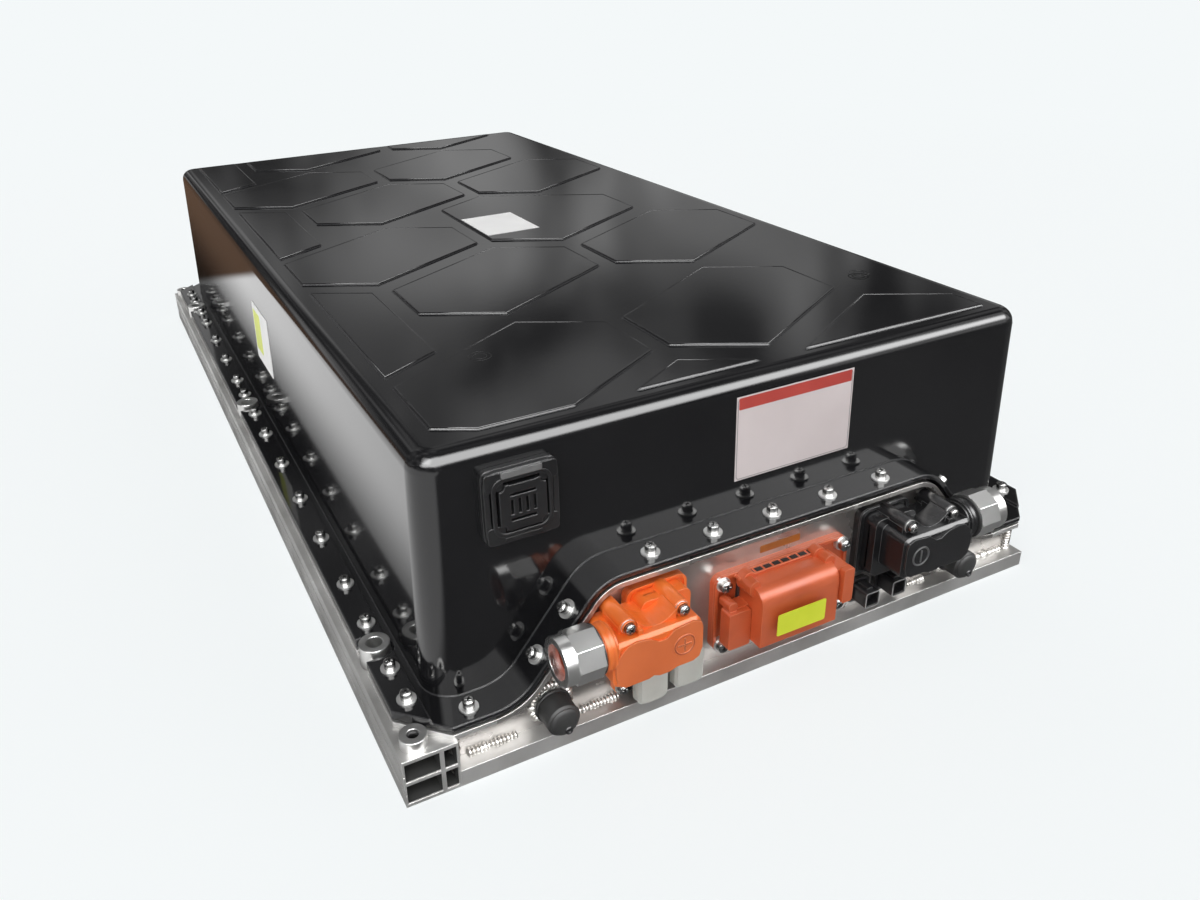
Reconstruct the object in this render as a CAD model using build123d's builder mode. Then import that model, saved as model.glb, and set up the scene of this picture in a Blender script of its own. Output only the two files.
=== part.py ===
"""Traction battery pack for an electric vehicle, in its own sealed housing.

Frame: the origin is the centre of the base between the side rails, +Z is up,
the connectors face -Y and the long sides run along Y. All sizes are in millimetres.
"""
import os
from math import atan, cos, degrees, radians, sin

from build123d import *

os.makedirs("parts", exist_ok=True)

# ---- driving dimensions: housing -----------------------------------------------------------
pack_length = 1130.0
pack_width = 630.0
rail_width = 41.0
rail_height = 41.0
rail_wall = 3.0
rail_setback = 48.0          # the right rail starts behind the end of the front plate
floor_thickness = 4.0
end_recess = 14.0            # front plate stands back from the front of the sill
plate_thickness = 5.0
plate_overrun = 10.0         # front plate and sill run past the inside of the right rail
sill_height = 14.0
rim_thickness = 4.0
rim_land = 43.0              # width of the welded sealing rim
gasket_thickness = 3.0
gasket_width = 15.0
side_inset = 6.0             # cover flange stands in from the rail's outer face
end_inset = 3.0
corner_cut = 33.0

# ---- driving dimensions: cover ------------------------------------------------------------
flange_width = 28.0
flange_thickness = 4.0
strip_rise = 3.0             # raised outer strip that carries the side screws
gutter_width = 6.0
cover_top = 243.0
cover_wall = 3.0
cover_draft = 6.0            # how far each wall leans in from flange to top
cover_corner = 25.0
cover_crown = 14.0
border_x = 31.0              # plain border between the cover wall and the pads
border_y = 27.0
pad_rise = 1.6
pad_half_width = 102.5
pad_side = 74.0
pad_shift = 34.5             # sideways place of the pointed ends of a pad
pad_repeats = 0.315          # share of the pack length after which the pad pattern repeats
pad_extra = 80.0             # the middle pad reaches this much further back
edge_pad_side = 166.0        # straight side of the half pads along the border
edge_pad_reach = 53.0

# ---- driving dimensions: arch over the connectors -----------------------------------------
arch_rise = 81.0
arch_half = 140.0
arch_radius = 38.0
arch_slope = 50.0

# ---- driving dimensions: fasteners and lugs ---------------------------------------------------
screw_line = 14.5            # from the cover wall out to the screw axes
washer_diameter = 16.0
washer_thickness = 1.6
head_across = 10.0
head_height = 5.0
shank_diameter = 6.0
shank_hole = 6.8
front_lug_inset = 109.0      # from the end of the pack to the first lug
middle_lug = 40.0
rear_lug_inset = 133.0
lug_line = 17.0              # from the rail's outer face in to the lug axes
lug_diameter = 24.0
lug_bore = 13.0
lug_stand = 4.0              # how far a lug stands above the raised strip
lug_clearance = 0.3
lug_notch = 2.5
screw_by_lug = 30.0
screw_past_lug = 67.0        # from an end lug out to the last screw of its row
front_row_gap = 59.5         # from a screw beside a lug to the even row between lugs
rear_row_gap = 48.5
rear_screw_inset = 41.0
crown_screw_inset = 30.0
foot_screw_step = 15.0
slope_screw_step = 20.0
corner_bush_inset = 13.5
corner_bush_diameter = 20.0
corner_bush_bore = 9.0
corner_bush_height = 9.0

# ---- driving dimensions: front connections ----------------------------------------------------
hv_offset = 110.0
hv_base_width = 52.0
hv_base_height = 62.0
hv_base_thickness = 6.0
hv_middle_z = 83.0
hv_spigot = (36.0, 40.0)     # what passes through the front plate
hv_tab_x = 29.5              # foot screw of the base, outward from its middle
hv_tab_z = 27.0
hv_tab_radius = 6.0
hv_body_inner = 14.0         # body from here, on the side of the pack's middle,
hv_body_outer = 58.0         # out to here, towards the gland
hv_body_low = 66.0
hv_body_high = 104.0
hv_depth = 40.0
hv_boss_places = (42.0, -2.0)
hv_boss_z = 109.0
hv_boss_radius = 6.5
hv_neck_radius = 16.0
hv_neck_length = 8.0
hv_gland_length = 29.0
hv_gland_across = 36.0
hv_gland_bore = 26.0
hv_gland_z = 95.0
gland_clearance = 2.0
disconnect_x = 7.5
disconnect_width = 130.0
disconnect_height = 70.0
disconnect_z = 62.0
disconnect_plate = 5.0
disconnect_depth = 29.0
disconnect_block = (-42.5, 31.0, 44.0, 93.0)
disconnect_screw_x = 58.0
disconnect_screw_z = 28.5
port_offset = 197.0
port_z = 34.0
port_diameter = 26.0
port_bore = 16.0
port_reach = 18.0
cap_wall = 3.0
cap_length = 16.0
grey_places = ((-121.0, 34.0), (-89.0, 37.0))
grey_size = (24.0, 30.0)
black_places = ((93.0, 34.0), (122.0, 36.0))
black_size = (20.0, 20.0)
signal_reach = 22.0
vent_x = -205.0
vent_z = 198.0
vent_size = 56.0
vent_body_depth = 5.0
vent_cap_depth = 6.0
vent_slot_width = 2.2

# ---- driving dimensions: inside ------------------------------------------------------------
module_rows = 3
module_gap = 17.0
module_middle_gap = 8.0
front_room = 153.0           # room for the switch box, from the cover wall to the first row
rear_room = 17.0
side_room = 15.0
head_room = 31.0
end_plate_thickness = 10.0
cold_plate_thickness = 6.0
thermal_pad_thickness = 2.0
cell_groove = 1.2
cells_per_module = 6
strap_width = 32.0
strap_thickness = 1.0
cold_plate_lead = 26.0
tube_diameter = 18.0
tube_bore = 14.0
box_size = (118.0, 70.0, 96.0)
unit_size = (70.0, 60.0, 34.0)
busbar_height = 20.0
busbar_thickness = 3.0
label_thickness = 0.4

# ---- places worked out from the driving dimensions --------------------------------------------
half_length = pack_length / 2
half_width = pack_width / 2
rail_inner = half_width - rail_width
rim_top = rail_height + rim_thickness
flange_bottom = rim_top + gasket_thickness
flange_top = flange_bottom + flange_thickness
strip_top = flange_top + strip_rise
flange_x = half_width - side_inset
flange_y = half_length - end_inset
wall_x = flange_x - flange_width
wall_y = flange_y - flange_width
plate_y = -half_length + end_recess
plate_right = rail_inner + plate_overrun
draft_angle = degrees(atan(cover_draft / (cover_top - flange_bottom)))
screw_x = wall_x + screw_line
screw_y = wall_y + screw_line
lug_x = half_width - lug_line
front_lug = -half_length + front_lug_inset
rear_lug = half_length - rear_lug_inset
lug_stations = (front_lug, middle_lug, rear_lug)
pad_pitch = pad_repeats * pack_length
arch_top = flange_top + arch_rise
slope = radians(arch_slope)
slope_length = (arch_rise - 2 * arch_radius * (1 - cos(slope))) / sin(slope)
arch_foot = arch_half + 2 * arch_radius * sin(slope) + slope_length * cos(slope)
arch_middle_x = (arch_half + arch_foot) / 2
arch_middle_z = (flange_top + arch_top) / 2
module_floor = floor_thickness + cold_plate_thickness + thermal_pad_thickness
module_height = cover_top - head_room - module_floor
row_room = 2 * wall_y - front_room - rear_room - (module_rows - 1) * module_gap
module_length = row_room / module_rows
module_width = wall_x - side_room - module_middle_gap / 2
module_pitch = module_length + module_gap
module_x = (module_width + module_middle_gap) / 2
last_row_y = wall_y - rear_room - module_length / 2
row_places = [last_row_y - module_pitch * row for row in reversed(range(module_rows))]
module_places = [(side * module_x, y) for y in row_places for side in (-1, 1)]
cold_front = row_places[0] - module_length / 2 - cold_plate_lead
cold_rear = row_places[-1] + module_length / 2
cold_half_width = module_x + module_width / 2
inner_face = plate_y + plate_thickness
disconnect_spigot = (disconnect_width - 50, disconnect_height - 28)
port_places = {"left": -port_offset, "right": port_offset}


def evenly(start, end, count):
    """Places spread evenly from start to end, both ends included."""
    return [start + (end - start) * i / (count - 1) for i in range(count)]


def arch_curve(depth):
    """Right half of the flange line over the connectors, at a depth below its top face."""
    crown = (arch_half, arch_top - arch_radius)
    foot = (arch_foot, flange_top + arch_radius)
    inner, outer = arch_radius - depth, arch_radius + depth
    crown_top = (arch_half, arch_top - depth)
    crown_end = (crown[0] + inner * sin(slope), crown[1] + inner * cos(slope))
    foot_start = (foot[0] - outer * sin(slope), foot[1] - outer * cos(slope))
    foot_end = (arch_foot, flange_top - depth)
    half_turn = slope / 2
    crown_mid = (crown[0] + inner * sin(half_turn), crown[1] + inner * cos(half_turn))
    foot_mid = (foot[0] - outer * sin(half_turn), foot[1] - outer * cos(half_turn))
    Line((0, arch_top - depth), crown_top)
    ThreePointArc(crown_top, crown_mid, crown_end)
    Line(crown_end, foot_start)
    ThreePointArc(foot_start, foot_mid, foot_end)
    return foot_end


def arch_area(depth, base):
    """Filled area under the flange line, down to the height base."""
    with BuildSketch() as area:
        with BuildLine():
            foot_end = arch_curve(depth)
            Polyline(foot_end, (arch_foot, base), (0, base), (0, arch_top - depth))
        make_face()
        mirror(about=Plane.YZ)
    return area.sketch


def arch_band(upper, lower):
    """Strip of even thickness between two depths under the flange line."""
    with BuildSketch() as band:
        with BuildLine():
            upper_end = arch_curve(upper)
            lower_end = arch_curve(lower)
            Line(upper_end, lower_end)
            Line((0, arch_top - lower), (0, arch_top - upper))
        make_face()
        mirror(about=Plane.YZ)
    return band.sketch


# ---- places of the cover screws ---------------------------------------------------------------
side_stations = [y + shift for y in lug_stations for shift in (-screw_by_lug, screw_by_lug)]
front_step = screw_by_lug + front_row_gap
rear_step = screw_by_lug + rear_row_gap
side_stations += evenly(front_lug + front_step, middle_lug - front_step, 5)
side_stations += evenly(middle_lug + rear_step, rear_lug - rear_step, 4)
side_stations += [front_lug - screw_past_lug, rear_lug + screw_past_lug]
side_screws = [(side * screw_x, y) for side in (-1, 1) for y in side_stations]
rear_row_half = wall_x - rear_screw_inset
rear_screws = [(x, screw_y) for x in evenly(-rear_row_half, rear_row_half, 9)]
crown_row_half = arch_half - crown_screw_inset
crown_screws = evenly(-crown_row_half, crown_row_half, 5)
slope_screws = [
    (arch_middle_x + along * cos(slope), arch_middle_z - along * sin(slope))
    for along in (-slope_screw_step, slope_screw_step)
]
foot_screw = (arch_foot + foot_screw_step, flange_top)
slope_planes = [
    Plane(
        origin=(side * x, -screw_y, z),
        x_dir=(0, 1, 0),
        z_dir=(side * sin(slope), 0, cos(slope)),
    )
    for side in (-1, 1)
    for x, z in slope_screws
]

# ---- housing ---------------------------------------------------------------------------------


def rail(name, x_sign, start):
    """Extruded side rail with an upright and a level web, and sleeves' holes for the lugs."""
    outer, inner = x_sign * half_width, x_sign * rail_inner
    middle = (outer + inner) / 2
    web_x = inner + x_sign * rail_width * 0.3
    with BuildPart() as part:
        with BuildSketch(Plane.XZ.offset(-half_length)):
            with Locations((middle, rail_height / 2)):
                Rectangle(rail_width, rail_height)
            for low, high in ((inner, web_x), (web_x, outer)):
                left, right = sorted((low, high))
                cell_width = right - left - rail_wall
                cell_height = (rail_height - 3 * rail_wall) / 2
                for level in (rail_wall, 2 * rail_wall + cell_height):
                    with Locations(((left + right) / 2, level + cell_height / 2)):
                        Rectangle(cell_width, cell_height, mode=Mode.SUBTRACT)
        extrude(amount=half_length - start)
        for groove_z in (rail_height * 0.3, rail_height * 0.7):
            with BuildSketch(Plane.XZ.offset(-half_length)):
                with Locations((outer, groove_z)):
                    Rectangle(2, 3)
            extrude(amount=half_length - start, mode=Mode.SUBTRACT)
        with Locations(*[(x_sign * lug_x, y, 0) for y in lug_stations]):
            Cylinder(
                lug_diameter / 2 + lug_clearance,
                rail_height,
                align=(Align.CENTER, Align.CENTER, Align.MIN),
                mode=Mode.SUBTRACT,
            )
    part.part.label = name
    export_step(part.part, f"parts/{name}.step")


rail("left_side_rail", -1, -half_length)
rail("right_side_rail", 1, -half_length + rail_setback)

with BuildPart() as bottom_plate:
    with BuildSketch():
        with Locations((0, (inner_face + half_length - end_recess) / 2)):
            Rectangle(2 * rail_inner, half_length - end_recess - inner_face)
    extrude(amount=floor_thickness)
bottom_plate.part.label = "bottom_plate"
export_step(bottom_plate.part, "parts/bottom_plate.step")

with BuildPart() as front_sill:
    with BuildSketch(Plane.YZ.offset(-rail_inner)):
        with Locations((-half_length, 0)):
            Rectangle(end_recess, sill_height, align=Align.MIN)
        with Locations((-half_length + 3, 3)):
            Rectangle(end_recess - 6, sill_height - 6, align=Align.MIN, mode=Mode.SUBTRACT)
    extrude(amount=rail_inner + plate_right)
front_sill.part.label = "front_sill"
export_step(front_sill.part, "parts/front_sill.step")

with BuildPart() as rear_end_plate:
    with BuildSketch(Plane.YZ.offset(-rail_inner)):
        with Locations((half_length - end_recess, 0)):
            Rectangle(end_recess, rail_height, align=Align.MIN)
        with Locations((half_length - end_recess + 3, 3)):
            Rectangle(end_recess - 6, rail_height - 6, align=Align.MIN, mode=Mode.SUBTRACT)
    extrude(amount=2 * rail_inner)
rear_end_plate.part.label = "rear_end_plate"
export_step(rear_end_plate.part, "parts/rear_end_plate.step")

rim_depth = flange_thickness + gasket_thickness
with BuildPart() as front_end_plate:
    with BuildSketch(Plane.XZ.offset(-plate_y)):
        add(arch_area(rim_depth, 0))
        for left, right in ((-rail_inner, -arch_foot), (arch_foot, plate_right)):
            with Locations((left, 0)):
                Rectangle(right - left, rail_height, align=Align.MIN)
    extrude(amount=-plate_thickness)
    with BuildSketch(Plane.XZ.offset(flange_y)):
        add(arch_band(rim_depth, rim_depth + rim_thickness))
    extrude(amount=-rim_land)
    for x, z, width, height in (
        (-hv_offset, hv_middle_z, *hv_spigot),
        (hv_offset, hv_middle_z, *hv_spigot),
        (disconnect_x, disconnect_z, *disconnect_spigot),
    ):
        with BuildSketch(Plane.XZ.offset(-inner_face)):
            with Locations((x, z)):
                RectangleRounded(width + 1, height + 1, 6)
        extrude(amount=plate_thickness, mode=Mode.SUBTRACT)
    port_holes = [(x, port_z) for x in port_places.values()]
    with BuildSketch(Plane.XZ.offset(-inner_face)):
        with Locations(*port_holes):
            Circle(tube_diameter / 2 + lug_clearance)
    extrude(amount=plate_thickness, mode=Mode.SUBTRACT)
front_end_plate.part.label = "front_end_plate"
export_step(front_end_plate.part, "parts/front_end_plate.step")


def flange_outline(inset=0.0):
    """Outline of the sealing rim and of the cover flange, with its cut corners."""
    Rectangle(2 * (flange_x - inset), 2 * (flange_y - inset))
    chamfer(vertices(), length=corner_cut)


def lug_notches():
    """Round notches that let the lugs pass, open to the outer edge."""
    with BuildSketch() as notches:
        for side in (-1, 1):
            with Locations(*[(side * lug_x, y) for y in lug_stations]):
                Circle(lug_diameter / 2 + lug_notch)
            with Locations(*[(side * (lug_x + lug_diameter / 2), y) for y in lug_stations]):
                Rectangle(lug_diameter, lug_diameter + 2 * lug_notch)
    return notches.sketch


with BuildPart() as sealing_rim:
    with BuildSketch(Plane.XY.offset(rail_height)):
        flange_outline()
        Rectangle(
            2 * (flange_x - rim_land), 2 * (flange_y - rim_land), mode=Mode.SUBTRACT
        )
        with Locations((0, -flange_y)):
            Rectangle(2 * arch_foot, 2 * rim_land, mode=Mode.SUBTRACT)
    extrude(amount=rim_thickness)
    with BuildSketch(Plane.XY.offset(rail_height)):
        add(lug_notches())
    extrude(amount=rim_thickness, mode=Mode.SUBTRACT)
sealing_rim.part.label = "sealing_rim"
export_step(sealing_rim.part, "parts/sealing_rim.step")

gasket_x = wall_x + 3
gasket_y = wall_y + 3
with BuildPart() as sealing_gasket:
    with BuildSketch(Plane.XY.offset(rim_top)):
        RectangleRounded(2 * gasket_x, 2 * gasket_y, cover_corner)
        RectangleRounded(
            2 * (gasket_x - gasket_width),
            2 * (gasket_y - gasket_width),
            cover_corner - gasket_width,
            mode=Mode.SUBTRACT,
        )
        with Locations((0, -gasket_y)):
            Rectangle(2 * arch_foot, 4 * gasket_width, mode=Mode.SUBTRACT)
    extrude(amount=gasket_thickness)
    with BuildSketch(Plane.XZ.offset(gasket_y)):
        add(arch_band(flange_thickness, rim_depth))
    extrude(amount=-gasket_width)
sealing_gasket.part.label = "sealing_gasket"
export_step(sealing_gasket.part, "parts/sealing_gasket.step")

# ---- cover -----------------------------------------------------------------------------------
with BuildPart() as cover_room:
    with BuildSketch(Plane.XY.offset(flange_bottom)):
        RectangleRounded(
            2 * (wall_x - cover_wall), 2 * (wall_y - cover_wall), cover_corner - cover_wall
        )
    extrude(amount=cover_top - cover_wall - flange_bottom, taper=draft_angle)
    fillet(cover_room.faces().sort_by(Axis.Z)[-1].edges(), cover_crown - cover_wall)

pad_half = pad_side / 2
pad_lean = pad_half_width * 0.195
pad_point = pad_lean + pad_half + (pad_half_width - pad_shift) * 0.585
pad_outline = [
    (-pad_half_width, pad_half - pad_lean),
    (-pad_half_width, -pad_half - pad_lean),
    (-pad_shift, -pad_point),
    (pad_half_width, -pad_half + pad_lean),
    (pad_half_width, pad_half + pad_lean),
]
plain_point = [(pad_shift, pad_point)]
long_point = [
    (-pad_shift, pad_point + pad_extra / 2),
    (-pad_half_width, pad_half - pad_lean + pad_extra),
]
pad_places = [(-150, -1.213), (-77, -1.604), (72, -1.093), (147, -1.489)]
pad_rows = (3, 4, 3, 4)
half_pad_places = [(-1, -0.784), (1, -0.902)]
half_pad_rows = 3
long_pad_column = 2
long_pad_row = 1

with BuildPart() as top_cover:
    with BuildSketch(Plane.XY.offset(flange_bottom)):
        RectangleRounded(2 * wall_x, 2 * wall_y, cover_corner)
    extrude(amount=cover_top - flange_bottom, taper=draft_angle)
    fillet(top_cover.faces().sort_by(Axis.Z)[-1].edges(), cover_crown)
    with BuildSketch(Plane.XY.offset(flange_bottom)):
        flange_outline()
    extrude(amount=flange_thickness)
    with BuildSketch(Plane.XY.offset(flange_top)):
        flange_outline()
        Rectangle(2 * (wall_x + gutter_width), 2 * flange_y, mode=Mode.SUBTRACT)
    extrude(amount=strip_rise)
    with BuildSketch(Plane.XY.offset(flange_bottom)):
        add(lug_notches())
    extrude(amount=flange_thickness + strip_rise, mode=Mode.SUBTRACT)
    add(cover_room.part, mode=Mode.SUBTRACT)
    with BuildSketch(Plane.XZ.offset(flange_y + 1)):
        add(arch_area(0, flange_bottom - 1))
    extrude(amount=-(flange_width + cover_corner), mode=Mode.SUBTRACT)
    with BuildSketch(Plane.XZ.offset(flange_y)):
        add(arch_band(0, flange_thickness))
    extrude(amount=-(flange_width + cover_wall))
    with BuildSketch(Plane.XY.offset(cover_top)):
        for column, (column_x, first_pitch) in enumerate(pad_places):
            for row in range(pad_rows[column]):
                is_long = column == long_pad_column and row == long_pad_row
                last_points = long_point if is_long else plain_point
                with Locations((column_x, pad_pitch * (first_pitch + row))):
                    Polygon(*pad_outline, *last_points, align=None)
        for side, first_pitch in half_pad_places:
            for row in range(half_pad_rows):
                edge = wall_x - border_x
                near, far = edge_pad_side / 2, edge_pad_side / 2 + edge_pad_reach * 0.6
                with Locations((side * edge, pad_pitch * (first_pitch + row))):
                    inner_x = -side * edge_pad_reach
                    Polygon((0, -far), (inner_x, -near), (inner_x, near), (0, far), align=None)
        Rectangle(2 * (wall_x - border_x), 2 * (wall_y - border_y), mode=Mode.INTERSECT)
    extrude(amount=pad_rise, taper=40)
    with BuildSketch(Plane.XY.offset(strip_top)):
        with Locations(*side_screws):
            RegularPolygon(shank_hole / 2, 6, major_radius=False)
        with Locations(*rear_screws, *[(s * foot_screw[0], -screw_y) for s in (-1, 1)]):
            RegularPolygon(shank_hole / 2, 6, major_radius=False)
    extrude(amount=-(strip_rise + flange_thickness), mode=Mode.SUBTRACT)
    with BuildSketch(Plane.XY.offset(arch_top)):
        with Locations(*[(x, -screw_y) for x in crown_screws]):
            RegularPolygon(shank_hole / 2, 6, major_radius=False)
    extrude(amount=-flange_thickness, mode=Mode.SUBTRACT)
    for plane in slope_planes:
        with BuildSketch(plane):
            RegularPolygon(shank_hole / 2, 6, major_radius=False)
        extrude(amount=-flange_thickness - 1, mode=Mode.SUBTRACT)
top_cover.part.label = "top_cover"
export_step(top_cover.part, "parts/top_cover.step")

# ---- lugs, bushes and cover screws ----------------------------------------------------------
lug_top = strip_top + lug_stand
with BuildPart() as side_lug_bushes:
    with Locations(*[(side * lug_x, y, 0) for side in (-1, 1) for y in lug_stations]):
        Cylinder(lug_diameter / 2, lug_top, align=(Align.CENTER, Align.CENTER, Align.MIN))
        Cylinder(
            lug_bore / 2,
            lug_top,
            align=(Align.CENTER, Align.CENTER, Align.MIN),
            mode=Mode.SUBTRACT,
        )
side_lug_bushes.part.label = "side_lug_bushes"
export_step(side_lug_bushes.part, "parts/side_lug_bushes.step")

corner_x = half_width - corner_bush_inset
corner_y = half_length - corner_bush_inset
corner_places = [(-corner_x, -corner_y), (-corner_x, corner_y), (corner_x, corner_y)]
with BuildPart() as corner_bushes:
    with BuildSketch(Plane.XY.offset(rail_height)):
        with Locations(*corner_places):
            Circle(corner_bush_diameter / 2)
            Circle(corner_bush_bore / 2, mode=Mode.SUBTRACT)
    extrude(amount=corner_bush_height)
corner_bushes.part.label = "corner_bushes"
export_step(corner_bushes.part, "parts/corner_bushes.step")


def screw_set(planes, shank):
    """Hexagon screws with captive washers, one on each plane, heads along its normal.

    Washers and shanks, and the holes for them, have few sides, as they repeat so often.
    """
    with BuildPart() as screws:
        for plane in planes:
            with BuildSketch(plane):
                RegularPolygon(washer_diameter / 2, 12)
            extrude(amount=washer_thickness)
            with BuildSketch(plane.offset(washer_thickness)):
                RegularPolygon(head_across / 2, 6, major_radius=False)
            extrude(amount=head_height)
            with BuildSketch(plane):
                RegularPolygon(shank_diameter / 2, 6, major_radius=False)
            extrude(amount=-shank)
    return screws.part


shank = flange_thickness + gasket_thickness
side_planes = [Plane((x, y, strip_top)) for x, y in side_screws]
level_places = [(x, y, flange_top) for x, y in rear_screws]
level_places += [(x, -screw_y, arch_top) for x in crown_screws]
level_places += [(side * foot_screw[0], -screw_y, foot_screw[1]) for side in (-1, 1)]
level_planes = [Plane(place) for place in level_places]
cover_screws = screw_set(side_planes, strip_rise + shank)
cover_screws += screw_set(level_planes + slope_planes, shank)
cover_screws.label = "cover_screws"
export_step(cover_screws, "parts/cover_screws.step")

# ---- pressure vent on the front of the cover --------------------------------------------------
vent_seat = wall_y - (vent_z - flange_bottom) * cover_draft / (cover_top - flange_bottom)
vent_tilt = Plane(
    origin=(vent_x, -vent_seat, vent_z),
    x_dir=(1, 0, 0),
    z_dir=(0, -cos(radians(draft_angle)), sin(radians(draft_angle))),
)
with BuildPart() as vent_body:
    with BuildSketch(vent_tilt):
        RectangleRounded(vent_size, vent_size, 6)
    extrude(amount=vent_body_depth)
    with BuildSketch(vent_tilt.offset(vent_body_depth)):
        with GridLocations(vent_size * 0.72, vent_size * 0.72, 2, 2):
            RectangleRounded(vent_size * 0.24, vent_size * 0.24, 3)
        with Locations((0, vent_size * 0.42)):
            Rectangle(vent_size * 0.34, vent_size * 0.1)
    extrude(amount=vent_cap_depth * 0.7)
vent_body.part.label = "vent_valve_body"
export_step(vent_body.part, "parts/vent_valve_body.step")

with BuildPart() as vent_grille:
    with BuildSketch(vent_tilt.offset(vent_body_depth)):
        RectangleRounded(vent_size * 0.62, vent_size * 0.62, 6)
        with GridLocations(vent_size * 0.72, vent_size * 0.72, 2, 2):
            RectangleRounded(vent_size * 0.25, vent_size * 0.25, 3, mode=Mode.SUBTRACT)
        with Locations((0, vent_size * 0.42)):
            Rectangle(vent_size * 0.35, vent_size * 0.24, mode=Mode.SUBTRACT)
    extrude(amount=vent_cap_depth)
    with BuildSketch(vent_tilt.offset(vent_body_depth + vent_cap_depth)):
        with GridLocations(vent_size * 0.1, 0, 4, 1):
            Rectangle(vent_slot_width, vent_size * 0.2)
        with Locations((0, vent_size * 0.17), (0, -vent_size * 0.17)):
            Rectangle(vent_size * 0.34, vent_slot_width)
    extrude(amount=-vent_cap_depth * 0.6, mode=Mode.SUBTRACT)
vent_grille.part.label = "vent_valve_grille"
export_step(vent_grille.part, "parts/vent_valve_grille.step")

# ---- high-voltage connectors -----------------------------------------------------------------
base_face = -plate_y + hv_base_thickness
hv_x = -hv_offset
gland_y = -(flange_y + gland_clearance + hv_gland_across / 2)
tab_place = (hv_x - hv_tab_x, hv_tab_z)
with BuildPart() as positive_connector_base:
    with BuildSketch(Plane.XZ.offset(-plate_y)):
        with Locations((hv_x, hv_middle_z)):
            RectangleRounded(hv_base_width, hv_base_height, 8)
        with Locations(tab_place):
            Circle(hv_tab_radius)
            Rectangle(
                2 * hv_tab_radius, hv_middle_z - hv_tab_z, align=(Align.CENTER, Align.MIN)
            )
    extrude(amount=hv_base_thickness)
    with BuildSketch(Plane.XZ.offset(-plate_y)):
        with Locations((hv_x, hv_middle_z)):
            RectangleRounded(*hv_spigot, 5.5)
    extrude(amount=-(plate_thickness + 12))
positive_connector_base.part.label = "positive_connector_base"

body_width = hv_body_outer + hv_body_inner
body_height = hv_body_high - hv_body_low
body_x = hv_x + (hv_body_inner - hv_body_outer) / 2
body_z = (hv_body_low + hv_body_high) / 2
with BuildPart() as positive_connector_housing:
    with BuildSketch(Plane.XZ.offset(base_face)):
        with Locations((body_x, body_z)):
            RectangleRounded(body_width, body_height, 6)
    extrude(amount=hv_depth)
    front_face = positive_connector_housing.faces().filter_by(Axis.Y).sort_by(Axis.Y)[0]
    chamfer(front_face.edges(), 2.5)
    with BuildSketch(Plane.XZ.offset(base_face)):
        with Locations((hv_x, hv_middle_z)):
            RectangleRounded(hv_base_width - 10, hv_base_height - 8, 6)
    extrude(amount=hv_depth * 0.35)
    with BuildSketch(Plane.XZ.offset(base_face)):
        for x in hv_boss_places:
            with Locations((hv_x - x, hv_boss_z)):
                Circle(hv_boss_radius)
    extrude(amount=hv_depth * 0.75)
    with BuildSketch(Plane.YZ.offset(hv_x - hv_body_outer + 4)):
        with Locations((gland_y, hv_gland_z)):
            Circle(hv_neck_radius)
    extrude(amount=-hv_neck_length - 4)
positive_connector_housing.part.label = "positive_connector_housing"

gland_plane = Plane(
    origin=(hv_x - hv_body_outer - hv_neck_length, gland_y, hv_gland_z),
    x_dir=(0, -1, 0),
    z_dir=(-1, 0, 0),
)
with BuildPart() as positive_gland_nut:
    with BuildSketch(gland_plane):
        RegularPolygon(hv_gland_across / 2, 8, major_radius=False)
        Circle(hv_gland_bore / 2, mode=Mode.SUBTRACT)
    extrude(amount=hv_gland_length * 0.7)
    with BuildSketch(gland_plane.offset(hv_gland_length * 0.7)):
        Circle(hv_gland_across / 2)
        Circle(hv_gland_bore / 2, mode=Mode.SUBTRACT)
    extrude(amount=hv_gland_length * 0.3)
positive_gland_nut.part.label = "positive_gland_nut"

with BuildPart() as positive_gland_seal:
    with BuildSketch(gland_plane):
        Circle(hv_gland_bore / 2)
        Circle(hv_gland_bore / 2 - 5, mode=Mode.SUBTRACT)
    extrude(amount=hv_gland_length * 0.8)
positive_gland_seal.part.label = "positive_gland_seal"

with BuildPart() as positive_connector_screws:
    screw_seats = [(hv_x - x, hv_boss_z, hv_depth * 0.75) for x in hv_boss_places]
    screw_seats.append((*tab_place, 0))
    for x, z, seat in screw_seats:
        with BuildSketch(Plane.XZ.offset(base_face + seat)):
            with Locations((x, z)):
                Circle(4.5)
        extrude(amount=5)
        with BuildSketch(Plane.XZ.offset(base_face + seat + 5)):
            with Locations((x, z)):
                RegularPolygon(2.3, 6)
        extrude(amount=-3, mode=Mode.SUBTRACT)
positive_connector_screws.part.label = "positive_connector_screws"

hv_pieces = {
    "connector_base": positive_connector_base,
    "connector_housing": positive_connector_housing,
    "gland_nut": positive_gland_nut,
    "gland_seal": positive_gland_seal,
    "connector_screws": positive_connector_screws,
}
for piece_name, piece in hv_pieces.items():
    export_step(piece.part, f"parts/positive_{piece_name}.step")
    with BuildPart() as negative_piece:
        add(mirror(piece.part, about=Plane.YZ))
    negative_piece.part.label = f"negative_{piece_name}"
    export_step(negative_piece.part, f"parts/negative_{piece_name}.step")

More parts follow.
